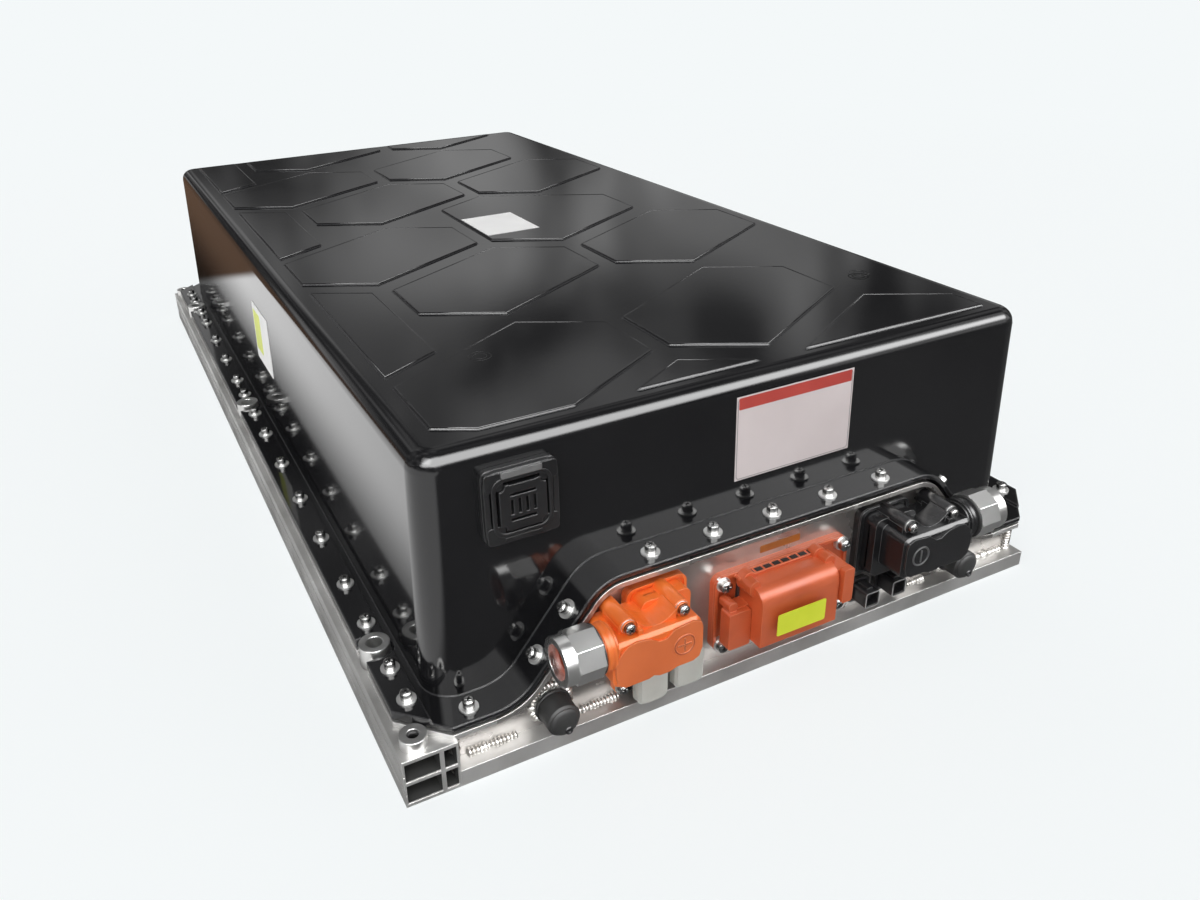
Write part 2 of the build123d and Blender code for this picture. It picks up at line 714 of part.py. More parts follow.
# ---- service disconnect ----------------------------------------------------------------------
disconnect_middle = (disconnect_x, disconnect_z)
block_left, block_right, block_low, block_high = disconnect_block
block_width = block_right - block_left
block_height = block_high - block_low
block_middle = (
    disconnect_x + (block_left + block_right) / 2,
    (block_low + block_high) / 2,
)
with BuildPart() as disconnect_base:
    with BuildSketch(Plane.XZ.offset(-plate_y)):
        with Locations(disconnect_middle):
            RectangleRounded(disconnect_width, disconnect_height, 8)
    extrude(amount=disconnect_plate)
    with BuildSketch(Plane.XZ.offset(-plate_y)):
        with Locations(disconnect_middle):
            RectangleRounded(*disconnect_spigot, 5.5)
    extrude(amount=-(plate_thickness + 14))
disconnect_base.part.label = "service_disconnect_base"
export_step(disconnect_base.part, "parts/service_disconnect_base.step")

with BuildPart() as disconnect_seal:
    with BuildSketch(Plane.XZ.offset(-plate_y + disconnect_plate)):
        with Locations(block_middle):
            RectangleRounded(block_width + 3, block_height + 3, 6)
    extrude(amount=3)
disconnect_seal.part.label = "service_disconnect_seal"
export_step(disconnect_seal.part, "parts/service_disconnect_seal.step")

disconnect_face = -plate_y + disconnect_plate + 3
with BuildPart() as disconnect_cover:
    with BuildSketch(Plane.XZ.offset(disconnect_face)):
        with Locations(block_middle):
            Rectangle(block_width, block_height)
    extrude(amount=disconnect_depth)
    top_front = disconnect_cover.edges().filter_by(Axis.X).group_by(Axis.Z)[-1].sort_by(Axis.Y)[0]
    fillet(top_front, 12)
    with BuildSketch(Plane.XZ.offset(disconnect_face)):
        with Locations((disconnect_x + block_left, block_low)):
            Rectangle(15, block_height * 0.62, align=(Align.MAX, Align.MIN))
    extrude(amount=disconnect_depth * 0.4)
    with BuildSketch(Plane.XZ.offset(disconnect_face)):
        with Locations((disconnect_x + block_right, block_high - 3)):
            Rectangle(12, block_height * 0.6, align=(Align.MIN, Align.MAX))
    extrude(amount=disconnect_depth * 0.9)
    with BuildSketch(Plane.XZ.offset(disconnect_face)):
        for x in (block_left + 3, block_right - 3):
            with Locations((disconnect_x + x, block_high - 2)):
                SlotCenterToCenter(6, 12, rotation=90)
    extrude(amount=8)
disconnect_cover.part.label = "service_disconnect_cover"
export_step(disconnect_cover.part, "parts/service_disconnect_cover.step")

with BuildPart() as disconnect_screws:
    with BuildSketch(Plane.XZ.offset(-plate_y + disconnect_plate)):
        with Locations(disconnect_middle):
            with GridLocations(2 * disconnect_screw_x, 2 * disconnect_screw_z, 2, 2):
                Circle(4.5)
    extrude(amount=6)
disconnect_screws.part.label = "service_disconnect_screws"
export_step(disconnect_screws.part, "parts/service_disconnect_screws.step")

# ---- signal connectors -----------------------------------------------------------------------
signal_bodies = {
    "grey_signal_connector_left": (*grey_places[0], *grey_size),
    "grey_signal_connector_right": (*grey_places[1], *grey_size),
    "black_signal_connector_left": (*black_places[0], *black_size),
    "black_signal_connector_right": (*black_places[1], *black_size),
}
for name, (x, z, width, height) in signal_bodies.items():
    depth = signal_reach - 8 if name.startswith("grey") else signal_reach
    with BuildPart() as signal_connector:
        with BuildSketch(Plane.XZ.offset(-plate_y)):
            with Locations((x, z)):
                RectangleRounded(width, height, 3)
        extrude(amount=4)
        with BuildSketch(Plane.XZ.offset(-plate_y + 4)):
            with Locations((x, z)):
                RectangleRounded(width - 5, height - 5, 2)
        extrude(amount=depth - 4)
        if name.startswith("black"):
            with BuildSketch(Plane.XZ.offset(-plate_y + depth)):
                with Locations((x, z)):
                    Rectangle(width - 9, height - 9)
            extrude(amount=-8, mode=Mode.SUBTRACT)
    signal_connector.part.label = name
    export_step(signal_connector.part, f"parts/{name}.step")

with BuildPart() as signal_caps:
    with BuildSketch(Plane.XZ.offset(-plate_y + signal_reach - 8)):
        with Locations(*grey_places):
            RectangleRounded(grey_size[0] + 2, grey_size[1] + 2, 5)
    extrude(amount=9)
    chamfer(signal_caps.faces().filter_by(Axis.Y).group_by(Axis.Y)[0].edges(), 1.5)
signal_caps.part.label = "grey_signal_caps"
export_step(signal_caps.part, "parts/grey_signal_caps.step")

# ---- coolant circuit -------------------------------------------------------------------------
manifold_length = 22.0
manifold_width = 40.0
manifold_height = port_z + tube_diameter / 2 + 3
for side, x in port_places.items():
    with BuildPart() as coolant_port:
        with BuildSketch(Plane.XZ.offset(-plate_y)):
            with Locations((x, port_z)):
                Circle(port_diameter / 2 + 1)
                Circle(port_bore / 2, mode=Mode.SUBTRACT)
        extrude(amount=4)
        with BuildSketch(Plane.XZ.offset(-plate_y + 4)):
            with Locations((x, port_z)):
                Circle(port_diameter / 2 - cap_wall)
                Circle(port_bore / 2, mode=Mode.SUBTRACT)
        extrude(amount=port_reach)
    coolant_port.part.label = f"coolant_port_{side}"
    export_step(coolant_port.part, f"parts/coolant_port_{side}.step")

    with BuildPart() as coolant_tube:
        with BuildSketch(Plane.XZ.offset(-plate_y)):
            with Locations((x, port_z)):
                Circle(tube_diameter / 2)
                Circle(tube_bore / 2, mode=Mode.SUBTRACT)
        extrude(amount=-(cold_front - plate_y))
    coolant_tube.part.label = f"coolant_tube_{side}"
    export_step(coolant_tube.part, f"parts/coolant_tube_{side}.step")

    with BuildPart() as coolant_manifold:
        with BuildSketch(Plane.XY.offset(floor_thickness + cold_plate_thickness)):
            with Locations((x, cold_front)):
                Rectangle(manifold_width, manifold_length, align=(Align.CENTER, Align.MIN))
        extrude(amount=manifold_height - floor_thickness - cold_plate_thickness)
        with BuildSketch(Plane.XZ.offset(-cold_front)):
            with Locations((x, port_z)):
                Circle(tube_bore / 2)
        extrude(amount=-manifold_length * 0.7, mode=Mode.SUBTRACT)
    coolant_manifold.part.label = f"coolant_manifold_{side}"
    export_step(coolant_manifold.part, f"parts/coolant_manifold_{side}.step")

cap_face = -plate_y + 4 + port_reach
with BuildPart() as coolant_caps:
    with BuildSketch(Plane.XZ.offset(cap_face + cap_wall)):
        with Locations(*port_holes):
            Circle(port_diameter / 2)
    extrude(amount=-cap_wall - cap_length)
    with BuildSketch(Plane.XZ.offset(cap_face)):
        with Locations(*port_holes):
            Circle(port_diameter / 2 - cap_wall)
    extrude(amount=-cap_length, mode=Mode.SUBTRACT)
    chamfer(coolant_caps.faces().filter_by(Axis.Y).group_by(Axis.Y)[0].edges(), 1.5)
coolant_caps.part.label = "coolant_caps"
export_step(coolant_caps.part, "parts/coolant_caps.step")

with BuildPart() as cold_plate:
    with BuildSketch(Plane.XY.offset(floor_thickness)):
        with Locations((0, cold_front)):
            Rectangle(
                2 * cold_half_width, cold_rear - cold_front, align=(Align.CENTER, Align.MIN)
            )
        for y in row_places[1:]:
            with Locations((0, y - module_pitch / 2)):
                Rectangle(2 * cold_half_width - 80, module_gap - 4, mode=Mode.SUBTRACT)
    extrude(amount=cold_plate_thickness)
cold_plate.part.label = "cold_plate"
export_step(cold_plate.part, "parts/cold_plate.step")

with BuildPart() as thermal_pads:
    with BuildSketch(Plane.XY.offset(floor_thickness + cold_plate_thickness)):
        with Locations(*module_places):
            Rectangle(module_width - 8, module_length - 20)
    extrude(amount=thermal_pad_thickness)
thermal_pads.part.label = "thermal_pads"
export_step(thermal_pads.part, "parts/thermal_pads.step")

for number, y in enumerate(row_places[1:], start=1):
    with BuildPart() as cross_member:
        with BuildSketch(Plane.XY.offset(floor_thickness)):
            with Locations((0, y - module_pitch / 2)):
                Rectangle(2 * cold_half_width - 84, module_gap - 8)
        extrude(amount=rail_height - floor_thickness)
    cross_member.part.label = f"cross_member_{number}"
    export_step(cross_member.part, f"parts/cross_member_{number}.step")

# ---- cell modules ----------------------------------------------------------------------------
stack_length = module_length - 2 * end_plate_thickness
cell_length = stack_length / cells_per_module
for number, (x, y) in enumerate(module_places, start=1):
    with BuildPart() as cell_module:
        with BuildSketch(Plane.XY.offset(module_floor)):
            with Locations((x, y)):
                Rectangle(module_width - 2 * strap_thickness, stack_length)
        extrude(amount=module_height)
        with BuildSketch(Plane.XY.offset(module_floor + module_height)):
            with Locations((x, y)):
                with GridLocations(0, cell_length, 1, cells_per_module - 1):
                    Rectangle(module_width, cell_groove)
        extrude(amount=-4, mode=Mode.SUBTRACT)
    cell_module.part.label = f"cell_module_{number}"
    export_step(cell_module.part, f"parts/cell_module_{number}.step")

with BuildPart() as module_end_plates:
    with BuildSketch(Plane.XY.offset(module_floor)):
        with Locations(*module_places):
            with GridLocations(0, module_length - end_plate_thickness, 1, 2):
                Rectangle(module_width - 2 * strap_thickness, end_plate_thickness)
    extrude(amount=module_height - 10)
module_end_plates.part.label = "module_end_plates"
export_step(module_end_plates.part, "parts/module_end_plates.step")

with BuildPart() as module_straps:
    with BuildSketch(Plane.XY.offset(module_floor + module_height * 0.6)):
        with Locations(*module_places):
            with GridLocations(module_width - strap_thickness, 0, 2, 1):
                Rectangle(strap_thickness, module_length)
    extrude(amount=strap_width)
module_straps.part.label = "module_straps"
export_step(module_straps.part, "parts/module_straps.step")

link_reach = module_gap + 60
with BuildPart() as module_links:
    with BuildSketch(Plane.XY.offset(module_floor + module_height)):
        for y in row_places[1:]:
            with Locations((-module_x, y - module_pitch / 2), (module_x, y - module_pitch / 2)):
                Rectangle(24, link_reach)
        with Locations((0, row_places[-1])):
            Rectangle(70, 24)
    extrude(amount=3)
module_links.part.label = "module_links"
export_step(module_links.part, "parts/module_links.step")

# ---- switch box, control unit and main busbars -----------------------------------------------
box_width, box_depth, box_height = box_size
box_y = cold_front - 16 - box_depth / 2
with BuildPart() as switch_box:
    with BuildSketch(Plane.XY.offset(floor_thickness)):
        with Locations((disconnect_x, box_y)):
            Rectangle(box_width, box_depth)
    extrude(amount=box_height)
switch_box.part.label = "switch_box"
export_step(switch_box.part, "parts/switch_box.step")

with BuildPart() as switch_box_lid:
    with BuildSketch(Plane.XY.offset(floor_thickness + box_height)):
        with Locations((disconnect_x, box_y)):
            RectangleRounded(box_width + 4, box_depth + 4, 4)
    extrude(amount=6)
switch_box_lid.part.label = "switch_box_lid"
export_step(switch_box_lid.part, "parts/switch_box_lid.step")

unit_x = disconnect_x - box_width / 2 - 22 - unit_size[0] / 2
with BuildPart() as management_unit:
    with BuildSketch(Plane.XY.offset(floor_thickness)):
        with Locations((unit_x, box_y)):
            RectangleRounded(unit_size[0], unit_size[1], 4)
    extrude(amount=unit_size[2])
management_unit.part.label = "management_unit"
export_step(management_unit.part, "parts/management_unit.step")

terminal_y = inner_face + 12
for name, side in (("positive", -1), ("negative", 1)):
    x = side * hv_offset
    with BuildPart() as busbar:
        with BuildSketch(Plane.XY.offset(hv_middle_z - busbar_height / 2)):
            with Locations((x, terminal_y)):
                Rectangle(busbar_height, busbar_thickness, align=(Align.CENTER, Align.MIN))
            with Locations((x, terminal_y)):
                Rectangle(
                    busbar_thickness, box_y - terminal_y, align=(Align.CENTER, Align.MIN)
                )
            box_side = disconnect_x + side * box_width / 2
            with Locations(((x + box_side) / 2, box_y)):
                Rectangle(abs(x - box_side) + busbar_thickness, busbar_thickness)
        extrude(amount=busbar_height)
    with BuildPart() as fitted_busbar:
        add(busbar.part)
        with BuildSketch(Plane.XY):
            with Locations((disconnect_x, box_y)):
                Rectangle(box_width, box_depth)
        extrude(amount=cover_top, mode=Mode.SUBTRACT)
    fitted_busbar.part.label = f"{name}_busbar"
    export_step(fitted_busbar.part, f"parts/{name}_busbar.step")

# ---- blank stickers --------------------------------------------------------------------------
with BuildPart() as top_sticker:
    with BuildSketch(Plane.XY.offset(cover_top + pad_rise)):
        with Locations((4, -35)):
            Rectangle(63, 80)
    extrude(amount=label_thickness)
top_sticker.part.label = "top_blank_sticker"
export_step(top_sticker.part, "parts/top_blank_sticker.step")

sticker_z = 194.0
front_inset = (sticker_z - flange_bottom) * cover_draft / (cover_top - flange_bottom)
front_wall_plane = Plane(
    origin=(32, -wall_y + front_inset, sticker_z),
    x_dir=(1, 0, 0),
    z_dir=(0, -cos(radians(draft_angle)), sin(radians(draft_angle))),
)
with BuildPart() as front_sticker:
    with BuildSketch(front_wall_plane):
        Rectangle(112, 70)
    extrude(amount=label_thickness)
front_sticker.part.label = "front_blank_sticker"
export_step(front_sticker.part, "parts/front_blank_sticker.step")
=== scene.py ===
"""Electric vehicle traction battery pack: finishes, small fittings and a plain studio.

Lengths are in metres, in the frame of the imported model: +Z up, connectors towards -Y. Shapes
that are drawn point by point are in millimetres and turned into metres as they are finished.
"""
import math

import bmesh
import bpy
from mathutils import Matrix, Vector


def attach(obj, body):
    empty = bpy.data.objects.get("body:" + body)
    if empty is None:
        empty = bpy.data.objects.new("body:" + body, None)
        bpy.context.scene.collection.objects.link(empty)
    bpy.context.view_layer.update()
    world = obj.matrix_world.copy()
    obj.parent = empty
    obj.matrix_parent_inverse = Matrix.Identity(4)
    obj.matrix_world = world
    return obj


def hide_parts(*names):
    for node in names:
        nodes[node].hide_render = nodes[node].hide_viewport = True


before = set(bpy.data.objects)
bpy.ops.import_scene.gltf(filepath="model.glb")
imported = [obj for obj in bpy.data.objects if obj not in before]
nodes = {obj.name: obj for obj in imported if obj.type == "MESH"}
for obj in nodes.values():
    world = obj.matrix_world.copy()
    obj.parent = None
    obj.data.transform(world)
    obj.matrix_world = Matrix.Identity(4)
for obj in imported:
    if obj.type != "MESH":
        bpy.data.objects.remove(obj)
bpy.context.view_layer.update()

# ---- Camera --------------------------------------------------------------------------------------
# The viewer stands off the front left corner of the pack and looks down on it, with the view
# leaning a little to one side.
eye = Vector((-0.4316, -1.0551, 0.5391))
turn, dip, lean = math.radians(25.77), math.radians(-25.2), math.radians(-1.93)
ahead = Vector((math.sin(turn) * math.cos(dip), math.cos(turn) * math.cos(dip), math.sin(dip)))
level = Vector((math.cos(turn), -math.sin(turn), 0))
upward = level.cross(ahead)
right = math.cos(lean) * level + math.sin(lean) * upward
up = -math.sin(lean) * level + math.cos(lean) * upward
camera_data = bpy.data.cameras.new("camera")
camera_data.sensor_width = 36
camera_data.lens = 29.33
camera_data.shift_x = 0.0417
camera_data.shift_y = -0.0417
camera = bpy.data.objects.new("camera", camera_data)
camera.matrix_world = Matrix.Translation(eye) @ Matrix((right, up, -ahead)).transposed().to_4x4()
bpy.context.scene.collection.objects.link(camera)
bpy.context.scene.camera = camera


# ---- Studio --------------------------------------------------------------------------------------
# A pale floor and a pale surround. Glossy surfaces mirror painted reflections: a dim hall with a
# few bright patches and a bright window band, and a floor that glows to them only, bright on the
# left, dim in front and brown far behind.
def socket_called(sockets, label):
    """The socket of that name, or of that index, that is in use."""
    if isinstance(label, int):
        return sockets[label]
    return next(s for s in sockets if s.name == label and s.enabled)


def set_inputs(tree, node, values):
    """Links a node's inputs to sockets, or sets them to values."""
    for label, source in values.items():
        socket = socket_called(node.inputs, label)
        if isinstance(source, bpy.types.NodeSocket):
            tree.links.new(source, socket)
        else:
            socket.default_value = source


def add_node(tree, kind, links=None, result=None, **settings):
    """A node with its settings, inputs linked or set, and its first output in use."""
    node = tree.nodes.new(kind)
    for key, value in settings.items():
        setattr(node, key, value)
    set_inputs(tree, node, links or {})
    if result:
        return socket_called(node.outputs, result)
    return next(output for output in node.outputs if output.enabled)


def math_node(tree, operation, *terms):
    """A maths node over sockets or numbers."""
    return add_node(tree, "ShaderNodeMath", dict(enumerate(terms)), operation=operation)


def smooth_ramp(tree, source, start, end, low=0, high=1):
    """A smooth change from low to high as a socket goes from start to end."""
    return add_node(tree, "ShaderNodeMapRange", {
        "Value": source, "From Min": start, "From Max": end, "To Min": low, "To Max": high,
    }, interpolation_type="SMOOTHSTEP")


def mixed(tree, factor, first, second):
    """A colour between two colours or sockets."""
    return add_node(tree, "ShaderNodeMix", {"Factor": factor, "A": first, "B": second},
                    data_type="RGBA")


pale = (0.905, 0.939, 0.947, 1)
white = (1, 1, 1, 1)
hall_strength, window_strength = 0.8, 11
world = bpy.data.worlds.new("surround")
bpy.context.scene.world = world
world.use_nodes = True
sky = world.node_tree
sky_light = sky.nodes["Background"]
set_inputs(sky, sky_light, {"Color": white, "Strength": 0.62})
seen = add_node(sky, "ShaderNodeBackground", {"Color": pale})
direction = add_node(sky, "ShaderNodeTexCoord", result="Generated")
clouds = add_node(sky, "ShaderNodeTexNoise", {
    "Vector": direction, "Scale": 4.2, "Detail": 3, "Distortion": 0.6,
}, "Fac")
lights = sky.nodes.new("ShaderNodeValToRGB")
for stop, position, grey in zip(lights.color_ramp.elements, (0.44, 0.7), (0.05, 0.95)):
    stop.position = position
    stop.color = (grey, grey, grey, 1)
sky.links.new(clouds, lights.inputs[0])
axes = sky.nodes.new("ShaderNodeSeparateXYZ")
sky.links.new(direction, axes.inputs[0])
window = math_node(sky, "MULTIPLY", smooth_ramp(sky, axes.outputs["Y"], -0.2, -0.4),
                   smooth_ramp(sky, axes.outputs["Z"], 0.3, 0.45))
# The hall and its window band are seen by glossy rays only: a painted reflection.
hall = add_node(sky, "ShaderNodeBackground", {
    "Color": mixed(sky, window, lights.outputs[0], white),
    "Strength": math_node(sky, "MULTIPLY_ADD", window, window_strength, hall_strength),
})
rays = sky.nodes.new("ShaderNodeLightPath")
unseen = add_node(sky, "ShaderNodeMixShader", {
    0: rays.outputs["Is Glossy Ray"], 1: sky_light.outputs[0], 2: hall,
})
surround = add_node(sky, "ShaderNodeMixShader", {
    0: rays.outputs["Is Camera Ray"], 1: unseen, 2: seen,
})
sky.links.new(surround, sky.nodes["World Output"].inputs[0])


def node_tree(material):
    """The material's node tree, its Principled shader and its output."""
    material.use_nodes = True
    tree = material.node_tree
    return tree, tree.nodes["Principled BSDF"], tree.nodes["Material Output"]


reach = 12
bright_reflection_start, bright_reflection_end = -0.318, -0.39
brown_reflection_start, brown_reflection_end = 0.73, 0.79
dim_reflection, bright_reflection = 0.17, 1.5
floor_mesh = bpy.data.meshes.new("floor")
floor_corners = [(-reach, -reach, 0), (reach, -reach, 0), (reach, reach, 0), (-reach, reach, 0)]
floor_mesh.from_pydata(floor_corners, [], [(0, 1, 2, 3)])
floor = bpy.data.objects.new("floor", floor_mesh)
bpy.context.scene.collection.objects.link(floor)
floor_material = bpy.data.materials.new("pale floor")
tree, shader, output = node_tree(floor_material)
set_inputs(tree, shader, {"Base Color": (0.86, 0.87, 0.87, 1), "Roughness": 0.9})
spot = add_node(tree, "ShaderNodeTexCoord", result="Object")
apart = tree.nodes.new("ShaderNodeSeparateXYZ")
tree.links.new(spot, apart.inputs[0])
brown_reflection = smooth_ramp(tree, apart.outputs["Y"], brown_reflection_start, brown_reflection_end)
# Glossy rays see the floor as a painted reflection: bright on the left, dim in front and brown far
# behind.
mirror_glow = add_node(tree, "ShaderNodeEmission", {
    "Color": mixed(tree, brown_reflection, (0.9, 0.9, 0.9, 1), (0.12, 0.072, 0.046, 1)),
    "Strength": smooth_ramp(tree, apart.outputs["X"], bright_reflection_start, bright_reflection_end,
                            dim_reflection, bright_reflection),
})
glow = add_node(tree, "ShaderNodeEmission", {"Color": pale})
distance = add_node(tree, "ShaderNodeVectorMath", {0: spot}, "Value", operation="LENGTH")
paths = tree.nodes.new("ShaderNodeLightPath")
share = math_node(tree, "MULTIPLY", paths.outputs["Is Camera Ray"],
                  smooth_ramp(tree, distance, 0.9, 2.6, 0.84, 1))
blend = add_node(tree, "ShaderNodeMixShader", {0: share, 1: shader.outputs[0], 2: glow})
floor_surface = add_node(tree, "ShaderNodeMixShader", {
    0: paths.outputs["Is Glossy Ray"], 1: blend, 2: mirror_glow,
})
tree.links.new(floor_surface, output.inputs[0])
floor_mesh.materials.append(floor_material)


def soft_lamp(name, place, target, size, power, mirrored_too=True):
    """A large square area lamp, aimed at a point."""
    data = bpy.data.lights.new(name, "AREA")
    data.size = size
    data.energy = power
    lamp = bpy.data.objects.new(name, data)
    lamp.location = place
    aim = Vector(target) - Vector(place)
    lamp.rotation_euler = aim.to_track_quat("-Z", "Y").to_euler()
    lamp.visible_glossy = mirrored_too
    bpy.context.scene.collection.objects.link(lamp)


soft_lamp("key", (-1.6, -1.6, 2.6), (0, -0.2, 0.1), 1.6, 38)
soft_lamp("fill", (2.4, -1.8, 1.6), (0, 0, 0.1), 2.2, 16)
soft_lamp("rear", (0.6, 2.6, 2.2), (0, 0.2, 0.2), 2.4, 26, mirrored_too=False)


# ---- Shared surface effects ----------------------------------------------------------------------
# Fine relief and blotches that moulded, milled and rubber surfaces all have, each at its own
# scale: a group gives a height for bumps and a mask for colour and roughness.
def effect_group(name, inputs, outputs):
    """An empty shader node group with named sockets."""
    group = bpy.data.node_groups.new(name, "ShaderNodeTree")
    for label, default in inputs.items():
        socket = group.interface.new_socket(label, in_out="INPUT", socket_type="NodeSocketFloat")
        socket.default_value = default
    for label in outputs:
        group.interface.new_socket(label, in_out="OUTPUT", socket_type="NodeSocketFloat")
    start, end = group.nodes.new("NodeGroupInput"), group.nodes.new("NodeGroupOutput")
    return group, start.outputs, end.inputs


def noise(group, place, scale, detail):
    """A noise pattern at a scale."""
    return add_node(group, "ShaderNodeTexNoise",
                    {"Vector": place, "Scale": scale, "Detail": detail}, "Fac")


grain_group, given, made = effect_group(
    "grain", {"Fineness": 900.0, "Blotches": 14.0}, ("Height", "Mask")
)
place = add_node(grain_group, "ShaderNodeTexCoord", result="Object")
grain_group.links.new(noise(grain_group, place, given["Fineness"], 2), made["Height"])
grain_group.links.new(noise(grain_group, place, given["Blotches"], 4), made["Mask"])

brushed_group, given, made = effect_group(
    "brushed", {"Along": 6.0, "Across": 900.0}, ("Height", "Mask")
)
place = add_node(brushed_group, "ShaderNodeTexCoord", result="Object")
stretch = add_node(brushed_group, "ShaderNodeCombineXYZ", {
    "X": given["Across"], "Y": given["Along"], "Z": given["Across"],
})
stretched = add_node(brushed_group, "ShaderNodeVectorMath", {0: place, 1: stretch},
                     operation="MULTIPLY")
brushed_group.links.new(noise(brushed_group, stretched, 1, 3), made["Height"])
brushed_group.links.new(noise(brushed_group, place, 16, 5), made["Mask"])

# Lighter edges: wear on most finishes, a painted highlight along the cover's edges.
edge_wear_and_sheen_group, given, made = effect_group("edge wear and sheen", {"Radius": 0.001, "Amount": 1.0}, ("Mask",))
rounded_normal = add_node(edge_wear_and_sheen_group, "ShaderNodeBevel", {"Radius": given["Radius"]}, samples=4)
flat_normal = add_node(edge_wear_and_sheen_group, "ShaderNodeNewGeometry", result="Normal")
likeness = add_node(edge_wear_and_sheen_group, "ShaderNodeVectorMath", {0: rounded_normal, 1: flat_normal},
                    "Value", operation="DOT_PRODUCT")
edge = add_node(edge_wear_and_sheen_group, "ShaderNodeMapRange",
                {"Value": likeness, "From Min": 0.99, "From Max": 0.85})
edge_wear_and_sheen_group.links.new(math_node(edge_wear_and_sheen_group, "MULTIPLY", edge, given["Amount"]), made["Mask"])


def finish_material(
    name, dark, light, rough, metal=0.0, group=grain_group, scale=None, bump=0.1,
    depth=0.0002, edge_wear_and_sheen=None, specular=0.5, round_edges=0.0,
):
    """A surface between two close colours, with relief, blotchy gloss and lighter edges:
    worn edges on most finishes, a painted highlight along the cover's edges.
    """
    material = bpy.data.materials.new(name)
    tree, shader, output = node_tree(material)
    effect = tree.nodes.new("ShaderNodeGroup")
    effect.node_tree = group
    set_inputs(tree, effect, scale or {})
    mask = effect.outputs["Mask"]
    spread = add_node(tree, "ShaderNodeMapRange",
                      {"Value": mask, "From Min": 0.3, "From Max": 0.7})
    base = mixed(tree, spread, (*dark, 1), (*light, 1))
    if edge_wear_and_sheen:
        edge_colour, amount, radius = (*edge_wear_and_sheen, 0.0008)[:3]
        worn_and_lit_edge = add_node(tree, "ShaderNodeGroup", {"Amount": amount, "Radius": radius},
                        node_tree=edge_wear_and_sheen_group)
        base = mixed(tree, worn_and_lit_edge, base, (*edge_colour, 1))
    gloss = add_node(tree, "ShaderNodeMapRange",
                     {"Value": mask, "To Min": rough[0], "To Max": rough[1]})
    relief = {"Strength": bump, "Distance": depth, "Height": effect.outputs["Height"]}
    if round_edges:
        relief["Normal"] = add_node(tree, "ShaderNodeBevel", {"Radius": round_edges}, samples=4)
    set_inputs(tree, shader, {
        "Base Color": base, "Roughness": gloss, "Metallic": metal, "Specular IOR Level": specular,
        "Normal": add_node(tree, "ShaderNodeBump", relief),
    })
    return material


def wear_material(material, *names):
    """Gives the frame's nodes of these names one material."""
    for name in names:
        mesh = nodes[name].data
        mesh.materials.clear()
        mesh.materials.append(material)


# ---- Cover ---------------------------------------------------------------------------------------
# One glossy black moulding with raised hexagonal pads, a draught on its walls and a screwed
# flange. Its moulded skin has a faint orange-peel ripple and a little settled dust. The light
# grey along all its edges is painted highlight.
cover_black = finish_material(
    "cover gloss black", (0.006, 0.006, 0.007), (0.012, 0.012, 0.013), (0.05, 0.12),
    scale={"Fineness": 120.0, "Blotches": 5.0}, bump=0.03, depth=0.0003, specular=0.5,
    edge_wear_and_sheen=((0.11, 0.11, 0.115), 0.5, 0.0024), round_edges=0.0024,
)
wear_material(cover_black, "top_cover")


def finish_piece(name, shape, materials):
    """Turns a bmesh drawn in millimetres into a piece in metres that goes with the pack."""
    bmesh.ops.recalc_face_normals(shape, faces=shape.faces)
    bmesh.ops.scale(shape, vec=(0.001, 0.001, 0.001), verts=shape.verts)
    mesh = bpy.data.meshes.new(name)
    shape.to_mesh(mesh)
    shape.free()
    for material in materials:
        mesh.materials.append(material)
    piece = bpy.data.objects.new(name, mesh)
    bpy.context.scene.collection.objects.link(piece)
    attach(piece, "root")
    return piece


def lathe(shape, centre, axis, profile, closed=False, sides=48, material=0):
    """Adds a turned form: profile is (radius, height) pairs along the axis, in millimetres."""
    turned = Vector(axis).to_track_quat("Z", "Y").to_matrix()
    rings = []
    for radius, height in profile:
        angles = [2 * math.pi * i / sides for i in range(sides)]
        points = [(radius * math.cos(a), radius * math.sin(a), height) for a in angles]
        rings.append([shape.verts.new(Vector(centre) + turned @ Vector(p)) for p in points])
    pairs = list(zip(rings, rings[1:]))
    if closed:
        pairs.append((rings[-1], rings[0]))
    for low, high in pairs:
        for i in range(sides):
            j = (i + 1) % sides
            face = shape.faces.new((low[i], low[j], high[j], high[i]))
            face.material_index = material
            face.smooth = True
    if not closed:
        for ring in (rings[0], rings[-1]):
            shape.faces.new(ring).material_index = material


def prism(shape, outline, back, front, hole=None, material=0):
    """Adds an outline of (x, z) points drawn out along Y, with a hole of as many points."""
    loops = [[[shape.verts.new((x, y, z)) for x, z in loop] for y in (back, front)]
             for loop in ((outline, hole) if hole else (outline,))]
    count = len(outline)
    for rear, face in loops:
        for i in range(count):
            j = (i + 1) % count
            shape.faces.new((rear[i], rear[j], face[j], face[i])).material_index = material
    for layer in (0, 1):
        if hole:
            for i in range(count):
                j = (i + 1) % count
                ends = (loops[0][layer][i], loops[0][layer][j],
                        loops[1][layer][j], loops[1][layer][i])
                shape.faces.new(ends).material_index = material
        else:
            shape.faces.new(loops[0][layer]).material_index = material


# ---- Moulding marks on the cover -----------------------------------------------------------------
# Two round ejector marks stand a hair above the pads, each two thin rings, one inside the other.
shape = bmesh.new()
for x, y in ((-171, -391), (220, -387)):
    for radius in (9, 5.5):
        ring_profile = [(radius - 0.5, 0), (radius, 0.35), (radius + 0.5, 0)]
        lathe(shape, (x, y, 244.5), (0, 0, 1), ring_profile, closed=True)
finish_piece("cover_moulding_marks", shape, [cover_black])

